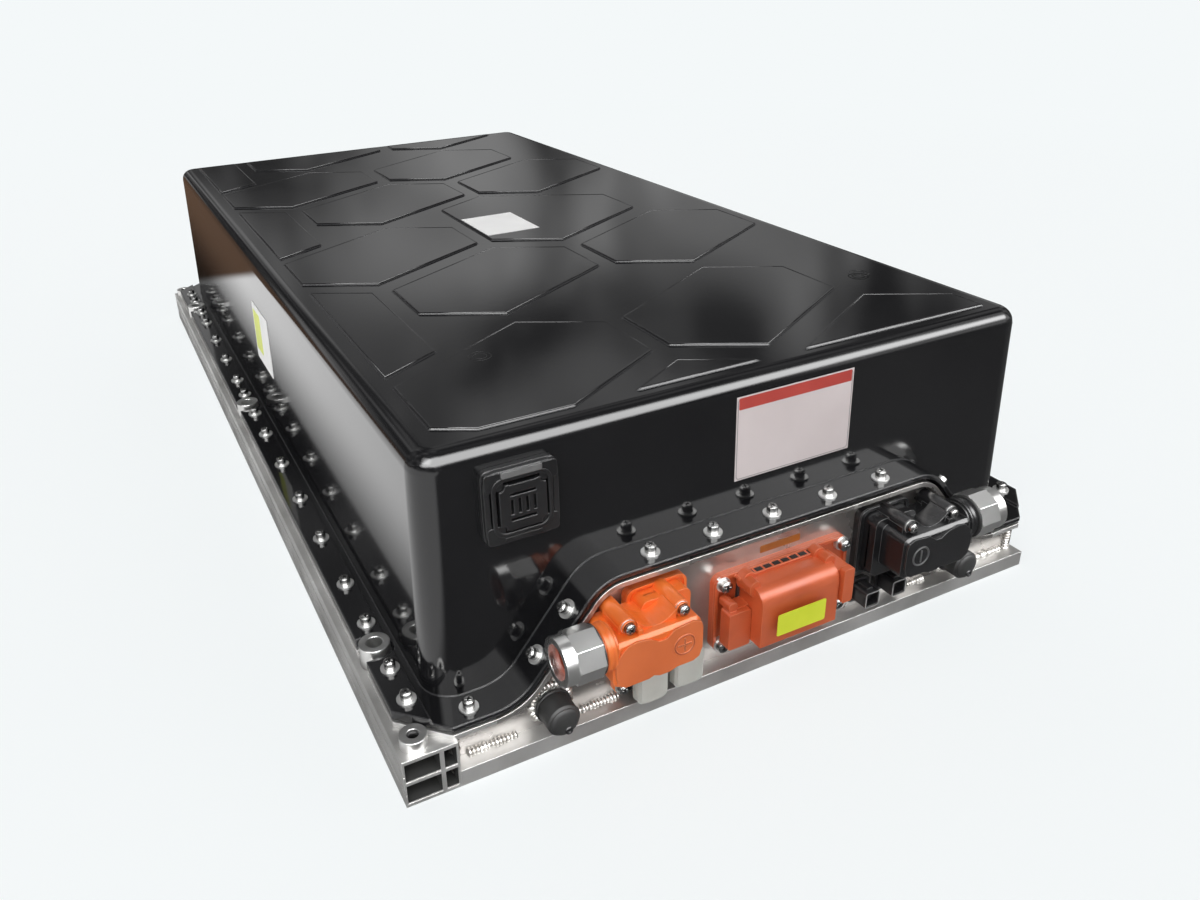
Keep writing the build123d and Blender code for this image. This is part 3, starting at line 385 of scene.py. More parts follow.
# ---- Vent ----------------------------------------------------------------------------------------
# A square pressure vent on the cover's front wall, moulded in satin black plastic: a rounded
# frame joins its corner blocks, and a lighter grey bar along its top is painted highlight.
satin_black = finish_material(
    "satin black plastic", (0.009, 0.009, 0.01), (0.017, 0.017, 0.018), (0.28, 0.4),
    scale={"Fineness": 2200.0, "Blotches": 30.0}, bump=0.18, edge_wear_and_sheen=((0.045, 0.045, 0.046), 0.6),
    round_edges=0.0012,
)
vent_top_highlight = finish_material(
    "vent top highlight", (0.1, 0.1, 0.1), (0.16, 0.16, 0.16), (0.35, 0.5),
    scale={"Fineness": 1800.0, "Blotches": 60.0}, bump=0.2, round_edges=0.001,
)
wear_material(satin_black, "vent_valve_body", "vent_valve_grille")


def rounded(x, z, width, height, radius, steps=6):
    """Outline of a rounded rectangle round (x, z), as (x, z) points."""
    points = []
    for corner, (sx, sz) in enumerate(((1, 1), (-1, 1), (-1, -1), (1, -1))):
        for step in range(steps + 1):
            a = math.radians(90 * (corner + step / steps))
            points.append((
                x + sx * (width / 2 - radius) + radius * math.cos(a),
                z + sz * (height / 2 - radius) + radius * math.sin(a),
            ))
    return points


vent_x, vent_z = -205, 198
wall_draught = math.atan(6 / 195)
lean_back = Matrix.Rotation(-wall_draught, 3, "X")
shape = bmesh.new()
for outer, radius, face, inner, bore_radius in ((55, 9, -538.2, 47, 8), (45, 9, -539.4, 39, 7)):
    prism(shape, rounded(vent_x, vent_z, outer, outer, radius), -534, face,
          rounded(vent_x, vent_z, inner, inner, bore_radius))
# The lighter bar along the vent's top is a painted highlight.
prism(shape, rounded(vent_x, 222.6, 30, 4.6, 1), -537, -540.2, material=1)
pivot = Vector((vent_x, -529.4, vent_z))
bmesh.ops.rotate(shape, cent=pivot, matrix=lean_back, verts=shape.verts)
finish_piece("vent_valve_frame", shape, [satin_black, vent_top_highlight])

# ---- Aluminium frame -----------------------------------------------------------------------------
# Extruded rails and sill, a folded front plate and the sealing rim, mill finish, with drawing
# lines along their length and patches left by handling and welding heat. Near-black linings in
# the rails' chambers are painted shade.
mill_aluminium = finish_material(
    "mill aluminium", (0.4, 0.395, 0.385), (0.62, 0.615, 0.605), (0.26, 0.44), metal=0.6,
    group=brushed_group, scale={"Along": 8.0, "Across": 700.0}, bump=0.25,
    edge_wear_and_sheen=((0.8, 0.8, 0.79), 0.5), round_edges=0.0008,
)
plate_aluminium = finish_material(
    "front plate aluminium", (0.24, 0.228, 0.216), (0.44, 0.425, 0.41), (0.2, 0.36), metal=0.7,
    scale={"Fineness": 500.0, "Blotches": 18.0}, bump=0.16, edge_wear_and_sheen=((0.78, 0.78, 0.77), 0.5),
    round_edges=0.0008,
)
wear_material(
    mill_aluminium, "left_side_rail", "right_side_rail", "front_sill", "rear_end_plate",
    "sealing_rim", "bottom_plate", "cross_member_1", "cross_member_2",
)
wear_material(plate_aluminium, "front_end_plate")
# Near-black linings, painted shade, sit in the mouth of each rail chamber.
chamber_shade = finish_material(
    "rail chamber shade", (0.004, 0.004, 0.004), (0.014, 0.014, 0.013), (0.6, 0.85),
    scale={"Fineness": 500.0, "Blotches": 30.0}, bump=0.2,
)
chamber_places = ((280.15, 9.3), (300.65, 25.7))
chamber_levels, chamber_height, chamber_end = (11, 30), 16, -482
lining_gap, lining_wall = 0.02, 0.2
shape = bmesh.new()
for side, front in ((-1, -563.8), (1, -515.8)):
    for middle, width in chamber_places:
        for level in chamber_levels:
            skin, bore = [
                [(side * middle + i * (width / 2 - gap), level + j * (chamber_height / 2 - gap))
                 for i, j in ((-1, -1), (1, -1), (1, 1), (-1, 1))]
                for gap in (lining_gap, lining_wall)
            ]
            prism(shape, skin, chamber_end, front, hole=bore)
            prism(shape, skin, chamber_end + 1, chamber_end)
finish_piece("rail_chamber_shade_linings", shape, [chamber_shade])

# ---- Gasket --------------------------------------------------------------------------------------
# A band of black foamed silicone between the rim and the cover's flange. The caps of the
# coolant ports and the seal of the service disconnect are of the same soft black rubber.
soft_rubber = finish_material(
    "black rubber", (0.014, 0.014, 0.014), (0.03, 0.03, 0.03), (0.5, 0.68),
    scale={"Fineness": 1500.0, "Blotches": 40.0}, bump=0.3, round_edges=0.0008,
)
wear_material(soft_rubber, "sealing_gasket", "coolant_caps", "service_disconnect_seal")

# ---- Screws --------------------------------------------------------------------------------------
# Each screw is a plated washer under a cylinder head with a domed edge, and a flat dark cross
# on the dome is painted shade for its cross recess.
# A node tree sets one on every place, turned along the seat's normal and twisted at random.
plated_steel = finish_material(
    "plated steel", (0.2, 0.2, 0.2), (0.42, 0.42, 0.41), (0.16, 0.3), metal=1.0,
    scale={"Fineness": 1800.0, "Blotches": 90.0}, bump=0.08, edge_wear_and_sheen=((0.88, 0.88, 0.87), 0.5),
    round_edges=0.0004,
)
washer_bright = finish_material(
    "bright washer", (0.48, 0.48, 0.47), (0.74, 0.74, 0.73), (0.24, 0.4), metal=0.7,
    scale={"Fineness": 1800.0, "Blotches": 90.0}, bump=0.08, edge_wear_and_sheen=((0.95, 0.95, 0.94), 0.5),
    round_edges=0.0004,
)
recess_dark = finish_material(
    "recess shadow", (0.008, 0.008, 0.008), (0.02, 0.02, 0.02), (0.5, 0.7), metal=0.4,
    scale={"Fineness": 1800.0, "Blotches": 60.0}, bump=0.1,
)
wear_material(plated_steel, "module_straps")


def new_tree(name, inputs):
    """A geometry node tree with a geometry input and output, and inputs of (type, value)."""
    tree = bpy.data.node_groups.new(name, "GeometryNodeTree")
    tree.interface.new_socket("Geometry", in_out="INPUT", socket_type="NodeSocketGeometry")
    tree.interface.new_socket("Geometry", in_out="OUTPUT", socket_type="NodeSocketGeometry")
    for label, (kind, value) in inputs.items():
        socket = tree.interface.new_socket(label, in_out="INPUT", socket_type="NodeSocket" + kind)
        if value is not None:
            socket.default_value = value
    start = tree.nodes.new("NodeGroupInput")
    end = tree.nodes.new("NodeGroupOutput")
    return tree, start.outputs, end.inputs


def set_out(tree, geometry, places, turn, scale, material):
    """Instances geometry on places, realizes it and gives it its material."""
    grown = add_node(tree, "GeometryNodeInstanceOnPoints", {
        "Points": places, "Instance": geometry, "Rotation": turn, "Scale": scale,
    })
    real = add_node(tree, "GeometryNodeRealizeInstances", {"Geometry": grown})
    return add_node(tree, "GeometryNodeSetMaterial", {"Geometry": real, "Material": material})


def grow(name, tree, carrier_mesh, values):
    """Runs a node tree on a carrier mesh and keeps the result as a plain piece."""
    carrier = bpy.data.objects.new(name + " carrier", carrier_mesh)
    bpy.context.scene.collection.objects.link(carrier)
    modifier = carrier.modifiers.new("grow", "NODES")
    modifier.node_group = tree
    for item in tree.interface.items_tree:
        if item.item_type == "SOCKET" and item.in_out == "INPUT" and item.name in values:
            modifier[item.identifier] = values[item.name]
    evaluated = carrier.evaluated_get(bpy.context.evaluated_depsgraph_get())
    mesh = bpy.data.meshes.new_from_object(evaluated)
    carrier.modifiers.remove(modifier)
    bpy.data.objects.remove(carrier)
    piece = bpy.data.objects.new(name, mesh)
    bpy.context.scene.collection.objects.link(piece)
    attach(piece, "root")
    return piece


screw_tree, given, made = new_tree("screws", {
    "Washer radius": ("Float", 0.0072), "Washer thickness": ("Float", 0.0014),
    "Head radius": ("Float", 0.0044), "Head height": ("Float", 0.0056),
    "Seed": ("Int", 7), "Washer": ("Material", None), "Head": ("Material", None),
    "Recess": ("Material", None),
})
aim = add_node(screw_tree, "GeometryNodeInputNamedAttribute", {"Name": "aim"},
               data_type="FLOAT_VECTOR")
upright = add_node(screw_tree, "FunctionNodeAlignRotationToVector", {"Vector": aim}, axis="Z")
chance = add_node(screw_tree, "FunctionNodeRandomValue",
                  {"Min": 0.0, "Max": 6.28, "Seed": given["Seed"]}, data_type="FLOAT")
twist = add_node(screw_tree, "FunctionNodeAxisAngleToRotation",
                 {"Axis": (0, 0, 1), "Angle": chance})
turn = add_node(screw_tree, "FunctionNodeRotateRotation",
                {"Rotation": upright, "Rotate By": twist}, rotation_space="LOCAL")


def lifted(tree, geometry, height, angle=0.0):
    """Geometry moved up by a height and turned about its axis."""
    offset = add_node(tree, "ShaderNodeCombineXYZ", {"Z": height})
    return add_node(tree, "GeometryNodeTransform",
                    {"Geometry": geometry, "Translation": offset, "Rotation": (0, 0, angle)})


half_washer = math_node(screw_tree, "MULTIPLY", given["Washer thickness"], 0.5)
washer = add_node(screw_tree, "GeometryNodeMeshCylinder", {
    "Vertices": 32, "Radius": given["Washer radius"], "Depth": given["Washer thickness"],
})
half_head = math_node(screw_tree, "MULTIPLY", given["Head height"], 0.5)
head = add_node(screw_tree, "GeometryNodeMeshCylinder", {
    "Vertices": 24, "Radius": given["Head radius"], "Depth": given["Head height"],
})
head_middle = math_node(screw_tree, "ADD", given["Washer thickness"], half_head)
head_top = math_node(screw_tree, "ADD", given["Washer thickness"], given["Head height"])
dome_height = math_node(screw_tree, "MULTIPLY", given["Head radius"], 0.2)
dome = add_node(screw_tree, "GeometryNodeMeshCone", {
    "Vertices": 24, "Radius Top": math_node(screw_tree, "MULTIPLY", given["Head radius"], 0.7),
    "Radius Bottom": given["Head radius"], "Depth": dome_height,
})
screw_top = math_node(screw_tree, "ADD", head_top, dome_height)
flat_washer = lifted(screw_tree, washer, half_washer)
solid = screw_tree.nodes.new("GeometryNodeJoinGeometry")
for form, height in ((head, head_middle), (dome, head_top)):
    screw_tree.links.new(lifted(screw_tree, form, height), solid.inputs[0])
# The flat dark cross laid on the dome is painted shade for the recess.
slot_size = add_node(screw_tree, "ShaderNodeCombineXYZ", {
    "X": math_node(screw_tree, "MULTIPLY", given["Head radius"], 1.15),
    "Y": math_node(screw_tree, "MULTIPLY", given["Head radius"], 0.3), "Z": 0.0003,
})
blade = add_node(screw_tree, "GeometryNodeMeshCube", {"Size": slot_size})
cross = screw_tree.nodes.new("GeometryNodeJoinGeometry")
for angle in (0.0, math.pi / 2):
    screw_tree.links.new(lifted(screw_tree, blade, screw_top, angle), cross.inputs[0])
whole = screw_tree.nodes.new("GeometryNodeJoinGeometry")
for form, material in ((flat_washer, given["Washer"]), (solid.outputs[0], given["Head"]),
                       (cross.outputs[0], given["Recess"])):
    screw_tree.links.new(
        set_out(screw_tree, form, given["Geometry"], turn, (1, 1, 1), material), whole.inputs[0]
    )
screw_tree.links.new(whole.outputs[0], made["Geometry"])


def screw_places(name, seats):
    """A carrier mesh with a vertex and its normal for each (place in mm, normal)."""
    mesh = bpy.data.meshes.new(name)
    mesh.from_pydata([[value / 1000 for value in place] for place, _ in seats], [], [])
    normals = mesh.attributes.new("aim", "FLOAT_VECTOR", "POINT")
    for value, (_, normal) in zip(normals.data, seats):
        value.vector = normal
    return mesh


side_stations = [-486, -426, 10, 70, 402, 462, -523, 499]
side_stations += [-366.5 + 79.25 * step for step in range(5)]
side_stations += [118.5 + 78.33 * step for step in range(4)]
side_row, end_row, flange_top, strip_top, arch_top = 295.5, 548.5, 52, 55, 133
slope = math.radians(50)
above = (0, 0, 1)
seats = [((side * side_row, y, strip_top), above) for side in (-1, 1) for y in side_stations]
seats += [((x, end_row, flange_top), above) for x in range(-240, 241, 60)]
seats += [((x, -end_row, arch_top), above) for x in range(-110, 111, 55)]
seats += [((side * 258.4, -end_row, flange_top), above) for side in (-1, 1)]
for side in (-1, 1):
    for x, z in ((178.83, 107.82), (204.54, 77.18)):
        seats.append(((side * x, -end_row, z), (side * math.sin(slope), 0, math.cos(slope))))
screw_finish = {"Washer": washer_bright, "Head": plated_steel, "Recess": recess_dark}
screws = grow("cover_screw_set", screw_tree, screw_places("cover screw places", seats),
              screw_finish)
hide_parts("cover_screws")

# ---- Lugs and bushes -----------------------------------------------------------------------------
# Turned aluminium sleeves through the side rails, and bushes at the corners, with a bright face.
# A thin dark lining and a dark disc at its foot are painted shade in the bore of each corner
# bush, down to the rail.
turned_metal = finish_material(
    "turned aluminium", (0.46, 0.46, 0.45), (0.68, 0.68, 0.67), (0.24, 0.42), metal=0.9,
    scale={"Fineness": 1400.0, "Blotches": 50.0}, bump=0.12, edge_wear_and_sheen=((0.85, 0.85, 0.84), 0.6),
    round_edges=0.0012,
)
wear_material(turned_metal, "side_lug_bushes", "corner_bushes")
bore_shade = finish_material(
    "bore shade", (0.006, 0.006, 0.006), (0.016, 0.016, 0.016), (0.45, 0.7), metal=0.3,
    scale={"Fineness": 1400.0, "Blotches": 80.0}, bump=0.1,
)
bush_x, bush_y, bore_foot = 301.5, 551.5, 41.05
bore_radius, lining_radius, lining_foot, lining_top = 4.45, 4.3, 0.15, 7
shape = bmesh.new()
for x, y in ((-bush_x, -bush_y), (-bush_x, bush_y), (bush_x, bush_y)):
    lathe(shape, (x, y, bore_foot), (0, 0, 1), [(bore_radius, 0), (bore_radius, lining_foot)],
          sides=32)
    lathe(shape, (x, y, bore_foot), (0, 0, 1), [
        (bore_radius, lining_foot), (bore_radius, lining_top),
        (lining_radius, lining_top), (lining_radius, lining_foot),
    ], closed=True, sides=32)
finish_piece("corner_bush_bores", shape, [bore_shade])

# ---- Weld beads ----------------------------------------------------------------------------------
# Overlapping ripples along the seams of the front plate: short runs on the sill, an upright run
# at each end, and a ring round each coolant port. Size and spacing vary a little.
weld_metal = finish_material(
    "weld metal", (0.3, 0.285, 0.265), (0.58, 0.57, 0.55), (0.26, 0.46), metal=0.85,
    scale={"Fineness": 1600.0, "Blotches": 120.0}, bump=0.25, edge_wear_and_sheen=((0.8, 0.8, 0.79), 0.5),
)
weld_tree, given, made = new_tree("weld ripples", {
    "Spacing": ("Float", 0.0028), "Bead radius": ("Float", 0.0036), "Variation": ("Float", 0.25),
    "Seed": ("Int", 3), "Metal": ("Material", None),
})
run = add_node(weld_tree, "GeometryNodeMeshToCurve", {"Mesh": given["Geometry"]})
steps = add_node(weld_tree, "GeometryNodeResampleCurve",
                 {"Curve": run, "Length": given["Spacing"]}, mode="LENGTH")
heading = add_node(weld_tree, "GeometryNodeInputTangent")
along = add_node(weld_tree, "FunctionNodeAlignRotationToVector", {"Vector": heading}, axis="X")
ripple = add_node(weld_tree, "GeometryNodeMeshIcoSphere",
                  {"Radius": given["Bead radius"], "Subdivisions": 3})
ripple = add_node(weld_tree, "GeometryNodeTransform", {"Geometry": ripple, "Scale": (0.55, 1, 1)})
least = math_node(weld_tree, "SUBTRACT", 1.0, given["Variation"])
most = math_node(weld_tree, "ADD", 1.0, given["Variation"])
spread = add_node(weld_tree, "FunctionNodeRandomValue",
                  {"Min": least, "Max": most, "Seed": given["Seed"]}, data_type="FLOAT")
beads = set_out(weld_tree, ripple, steps, along, spread, given["Metal"])
smooth = add_node(weld_tree, "GeometryNodeSetShadeSmooth", {"Geometry": beads})
weld_tree.links.new(smooth, made["Geometry"])


def path_mesh(name, paths):
    """A carrier mesh of edges along paths of points in millimetres."""
    points, edges = [], []
    for path in paths:
        edges += [(len(points) + i, len(points) + i + 1) for i in range(len(path) - 1)]
        points += [[value / 1000 for value in point] for point in path]
    mesh = bpy.data.meshes.new(name)
    mesh.from_pydata(points, edges, [])
    return mesh


seams = [[(start, -551.5, 14), (end, -551.5, 14)] for start, end in (
    (-262, -226), (-176, -140), (146, 172), (222, 268),
)]
seams += [[(x, -552, 3), (x, -552, 40)] for x in (-273, 276)]
for x in (-197, 197):
    ring = [math.radians(angle) for angle in range(-60, 241, 15)]
    seams.append([(x + 15 * math.cos(a), -552, 34 + 15 * math.sin(a)) for a in ring])
grow("front_weld_beads", weld_tree, path_mesh("front seams", seams), {"Metal": weld_metal})

# ---- High-voltage connectors ---------------------------------------------------------------------
# Two right-angle plugs, mirrored: the positive one in bright orange nylon, the negative one in
# black. Each has a rim round its base, a front lid with a wavy edge and its polarity sign.
bright_orange = finish_material(
    "bright orange plastic", (0.76, 0.15, 0.022), (0.88, 0.2, 0.035), (0.28, 0.4),
    scale={"Fineness": 2400.0, "Blotches": 26.0}, bump=0.14, edge_wear_and_sheen=((1.0, 0.42, 0.16), 0.45),
    round_edges=0.001,
)
lid_orange = finish_material(
    "orange lid plastic", (0.6, 0.125, 0.028), (0.7, 0.16, 0.04), (0.3, 0.42),
    scale={"Fineness": 2400.0, "Blotches": 20.0}, bump=0.14, edge_wear_and_sheen=((0.98, 0.38, 0.14), 0.5),
    round_edges=0.001,
)
connector_black = finish_material(
    "connector black", (0.01, 0.01, 0.011), (0.02, 0.02, 0.021), (0.2, 0.32),
    scale={"Fineness": 2200.0, "Blotches": 30.0}, bump=0.16, edge_wear_and_sheen=((0.2, 0.2, 0.2), 0.6),
    round_edges=0.001,
)
nut_nickel = finish_material(
    "nickel-plated nut", (0.62, 0.62, 0.61), (0.82, 0.82, 0.81), (0.22, 0.36), metal=0.95,
    group=brushed_group, scale={"Along": 500.0, "Across": 900.0}, bump=0.1,
    edge_wear_and_sheen=((0.9, 0.9, 0.9), 0.5), round_edges=0.0006,
)
seal_red = finish_material(
    "cable seal", (0.2, 0.035, 0.016), (0.3, 0.055, 0.025), (0.5, 0.62),
    scale={"Fineness": 1500.0, "Blotches": 60.0}, bump=0.2,
)
wear_material(bright_orange, "positive_connector_base", "positive_connector_housing")
wear_material(nut_nickel, "positive_gland_nut", "negative_gland_nut")
wear_material(seal_red, "positive_gland_seal")
wear_material(connector_black, "negative_connector_base", "negative_connector_housing")
wear_material(soft_rubber, "negative_gland_seal")

# The raised sign on the orange lid is dark orange, painted shade for its embossed lines; on the
# black lid it is a lighter grey.
sign_shade_orange = finish_material(
    "orange sign shade", (0.3, 0.045, 0.01), (0.42, 0.065, 0.014), (0.3, 0.42),
    scale={"Fineness": 2400.0, "Blotches": 20.0}, bump=0.14, edge_wear_and_sheen=((1.0, 0.5, 0.25), 0.6),
)
sign_grey = finish_material(
    "grey sign", (0.07, 0.07, 0.072), (0.1, 0.1, 0.102), (0.3, 0.42),
    scale={"Fineness": 2400.0, "Blotches": 20.0}, bump=0.14,
)
lid_edge = [
    (-163, 97), (-158, 101.5), (-150, 103), (-140, 101), (-133, 96.5), (-127, 96.5), (-120, 102),
    (-104, 103.5), (-98, 101), (-96.5, 96), (-96.5, 78), (-99, 71), (-104, 68.5), (-118, 68.5),
    (-124, 66.5), (-132, 66.5), (-137, 68.5), (-141, 67), (-160, 67), (-166, 71), (-167.5, 80),
    (-167.5, 92),
]
saddle = [(-146 + 3.2 * i, 104 + 8 * ((i - 5) / 5) ** 2) for i in range(11)]
saddle += [(-114, 103), (-146, 103)]
plug_x, plug_z, lid_face, sign_face = -110, 83, -598.6, -599.3
sign_x, sign_z = -112, 86
for side, pole, body, lid, sign in (
    (1, "positive", bright_orange, lid_orange, sign_shade_orange),
    (-1, "negative", connector_black, connector_black, sign_grey),
):
    shape = bmesh.new()
    prism(shape, rounded(plug_x, plug_z, 52, 62, 8), -557, -558.5,
          rounded(plug_x, plug_z, 47, 57, 6))
    prism(shape, lid_edge, -597, lid_face, material=1)
    prism(shape, saddle, -571, -590)
    prism(shape, [(-147, 99), (-147, 108), (-143.6, 108), (-143.6, 99)], -590, -594)
    lathe(shape, (sign_x, lid_face, sign_z), (0, -1, 0),
          [(7.4, 0), (7.7, 0.7), (8.5, 0.7), (8.8, 0)], closed=True, material=3)
    bars = ((0.6, 5.5), (5.5, 0.6)) if pole == "positive" else ((0.6, 5.5),)
    for across, along in bars:
        bar = [(sign_x + i * across, sign_z + j * along)
               for i, j in ((-1, -1), (1, -1), (1, 1), (-1, 1))]
        prism(shape, bar, lid_face, sign_face, material=3)
    for x in (-152, -108):
        lathe(shape, (x, -588, 109), (0, -1, 0), [(5.4, 0), (5.4, 1.2), (4.6, 1.2), (4.6, 0)],
              closed=True)
        prism(shape, [(x - 6.8, 101), (x - 6.8, 109), (x + 6.8, 109), (x + 6.8, 101)],
              -563, -586.5)
    for step in range(3):
        prism(shape, rounded(plug_x, plug_z, 42 - step, 54 - step, 6),
              -563 - 2.6 * step, -564.4 - 2.6 * step)
    lathe(shape, (-166, -582, 95), (-1, 0, 0), [
        (17.4, 0), (17.6, 2), (16.4, 2.4), (17.2, 4), (17.2, 7), (15, 8),
    ])
    lathe(shape, (-174.5, -582, 95), (-1, 0, 0), [(15, 0), (18.4, 0.4), (18.4, 1.6), (15, 2)],
          closed=True, material=2)
    if side < 0:
        bmesh.ops.scale(shape, vec=(-1, 1, 1), verts=shape.verts)
    finish_piece(pole + "_connector_shell", shape, [body, lid, soft_rubber, sign])

# ---- Pad ridges ----------------------------------------------------------------------------------
# A fine rounded ridge runs along every pad's top edge and catches the light. A node tree sweeps
# it along the sharp edges of the cover's raised faces.
ridge_black = finish_material(
    "pad ridge black", (0.012, 0.012, 0.013), (0.02, 0.02, 0.021), (0.04, 0.1),
    scale={"Fineness": 300.0, "Blotches": 9.0}, bump=0.04, specular=0.6,
)
ridge_tree, given, made = new_tree("ridges", {
    "Ridge radius": ("Float", 0.0007), "Sides": ("Int", 10), "Finish": ("Material", None),
})
outline = add_node(ridge_tree, "GeometryNodeMeshToCurve", {"Mesh": given["Geometry"]})
section = add_node(ridge_tree, "GeometryNodeCurvePrimitiveCircle",
                   {"Resolution": given["Sides"], "Radius": given["Ridge radius"]})
swept = add_node(ridge_tree, "GeometryNodeCurveToMesh",
                 {"Curve": outline, "Profile Curve": section})
real = add_node(ridge_tree, "GeometryNodeRealizeInstances", {"Geometry": swept})
finished = add_node(ridge_tree, "GeometryNodeSetMaterial",
                    {"Geometry": real, "Material": given["Finish"]})
ridge_tree.links.new(finished, made["Geometry"])
cover = nodes["top_cover"]
pads = bmesh.new()
pads.from_mesh(cover.data)
pads.transform(cover.matrix_world)
bmesh.ops.remove_doubles(pads, verts=pads.verts, dist=0.00002)
pad_top = max(vert.co.z for vert in pads.verts)
top_verts = {vert for vert in pads.verts if vert.co.z > pad_top - 0.0001}
paths = []
for edge in pads.edges:
    faces_flat = [face.normal.z > 0.99 for face in edge.link_faces]
    if set(edge.verts) <= top_verts and any(faces_flat) and not all(faces_flat):
        ends = [vert.co * 1000 - Vector((0, 0, 0.3)) for vert in edge.verts]
        paths.append([tuple(end) for end in ends])
pads.free()
ridge_mesh = path_mesh("pad edges", paths)
joined = bmesh.new()
joined.from_mesh(ridge_mesh)
bmesh.ops.remove_doubles(joined, verts=joined.verts, dist=0.00005)
joined.to_mesh(ridge_mesh)
joined.free()
grow("cover_pad_ridges", ridge_tree, ridge_mesh, {"Finish": ridge_black})

# ---- Connector and disconnect screws -------------------------------------------------------------
# Cap screws stand in the two bosses and the foot of each plug, and four taller ones with broad
# washers hold the service disconnect.
front = (0, -1, 0)
seats = [((side * x, -587, 109), front) for side in (-1, 1) for x in (108, 152)]
seats += [((side * 139.5, -557, 27), front) for side in (-1, 1)]
plug_screws = grow("connector_screw_set", screw_tree, screw_places("connector places", seats), {
    "Washer radius": 0.0056, "Washer thickness": 0.0008, "Head radius": 0.0042,
    "Head height": 0.0042, "Seed": 11, **screw_finish,
})
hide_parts("positive_connector_screws", "negative_connector_screws")
seats = [((7.5 + sx * 58, -556, 62 + sz * 28.5), front) for sx in (-1, 1) for sz in (-1, 1)]
tall_screws = grow("disconnect_screw_set", screw_tree, screw_places("disconnect places", seats), {
    "Washer radius": 0.0062, "Washer thickness": 0.0034, "Head radius": 0.005,
    "Head height": 0.0046, "Seed": 5, **screw_finish,
})
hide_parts("service_disconnect_screws")

# ---- Service disconnect --------------------------------------------------------------------------
# A deeper orange moulding, screwed over the fuse socket in the front plate. A raised rim runs
# round its base, and a ribbed ledge with small windows lies behind the block.
deep_orange = finish_material(
    "deep orange plastic", (0.46, 0.085, 0.026), (0.58, 0.115, 0.038), (0.3, 0.44),
    scale={"Fineness": 2400.0, "Blotches": 26.0}, bump=0.16, edge_wear_and_sheen=((0.85, 0.28, 0.11), 0.5),
    round_edges=0.0012,
)
wear_material(deep_orange, "service_disconnect_base", "service_disconnect_cover")
shape = bmesh.new()
prism(shape, rounded(7.5, 62, 130, 70, 8), -556, -558.5, rounded(7.5, 62, 124, 64, 6))
prism(shape, rounded(1.75, 94.2, 84, 2.2, 1), -556, -564)
for x in (-34, 37.5):
    prism(shape, rounded(x, 91.5, 10, 13, 4.9), -559, -577)
prism(shape, rounded(-45.5, 57, 20, 33, 2), -564, -575.6)
prism(shape, rounded(-50, 77, 8, 8, 3), -559, -572)
prism(shape, rounded(45.6, 76, 10, 31, 2), -585, -591)
finish_piece("service_disconnect_trim", shape, [deep_orange])

# The windows are thin dark boxes in the recess shadow finish: painted shade in their openings.
window_tree, given, made = new_tree("window row", {
    "Count": ("Int", 8), "Pitch": ("Float", 0.0085),
    "Window size": ("Vector", (0.0062, 0.0046, 0.0004)), "Dark": ("Material", None),
})
step = add_node(window_tree, "ShaderNodeCombineXYZ", {"X": given["Pitch"]})
row = add_node(window_tree, "GeometryNodeMeshLine", {"Count": given["Count"], "Offset": step})
line = add_node(window_tree, "GeometryNodeTransform",
                {"Geometry": row, "Translation": (-0.0278, -0.5605, 0.0954)})
window = add_node(window_tree, "GeometryNodeMeshCube", {"Size": given["Window size"]})
dark = set_out(window_tree, window, line, (0, 0, 0), (1, 1, 1), given["Dark"])
window_tree.links.new(dark, made["Geometry"])
grow("service_disconnect_windows", window_tree, bpy.data.meshes.new("window carrier"),
     {"Dark": recess_dark})

# ---- Signal connectors ---------------------------------------------------------------------------
# Two sockets under pale grey dust caps, each cap with a rounded lip, a strap and a small hinge,
# and two open black ones with a worn light edge round the mouth.
cap_grey = finish_material(
    "grey dust cap", (0.46, 0.475, 0.44), (0.54, 0.555, 0.52), (0.38, 0.5),
    scale={"Fineness": 2000.0, "Blotches": 40.0}, bump=0.12, edge_wear_and_sheen=((0.72, 0.73, 0.7), 0.5),
    round_edges=0.0015,
)
# The strap and the block above the hinge wear a darker copy of the cap grey: painted shade.
cap_shade = finish_material(
    "cap side shade", (0.2, 0.2, 0.19), (0.28, 0.28, 0.27), (0.4, 0.55),
    scale={"Fineness": 2000.0, "Blotches": 30.0}, bump=0.12,
)
mouth_edge = finish_material(
    "worn mouth edge", (0.28, 0.28, 0.28), (0.42, 0.42, 0.42), (0.35, 0.5),
    scale={"Fineness": 1800.0, "Blotches": 90.0}, bump=0.15,
)
wear_material(cap_grey, "grey_signal_caps")
wear_material(
    satin_black, "grey_signal_connector_left", "grey_signal_connector_right",
    "black_signal_connector_left", "black_signal_connector_right",
)
shape = bmesh.new()
for x, z in ((-121, 34), (-89, 37)):
    prism(shape, rounded(x, z, 23, 29, 6), -573.6, -574.6)
    prism(shape, rounded(x, z, 26.6, 32.6, 5), -565.4, -567.2, rounded(x, z, 25.4, 31.4, 5))
    prism(shape, rounded(x - 6, z + 15.2, 8, 4, 1.4), -562, -569, material=1)
    prism(shape, rounded(x - 12.6, z + 12, 2.4, 6, 1), -556, -572, material=1)
    lathe(shape, (x - 6, -571, z + 16), (0, -1, 0), [(0.8, 0), (2, 0), (2, 1.4), (0.8, 1.4)],
          closed=True, sides=20)
finish_piece("grey_cap_details", shape, [cap_grey, cap_shade])
shape = bmesh.new()
for x, z in ((93, 34), (122, 36)):
    prism(shape, rounded(x, z, 14.8, 14.8, 2), -572.6, -573.3, rounded(x, z, 13.4, 13.4, 1.6),
          material=1)
    prism(shape, rounded(x, z, 22, 22, 4), -555, -556.6, rounded(x, z, 17, 17, 3))
    prism(shape, rounded(x, z + 8.2, 6, 2.4, 0.8), -558, -569)
finish_piece("black_socket_details", shape, [satin_black, mouth_edge])

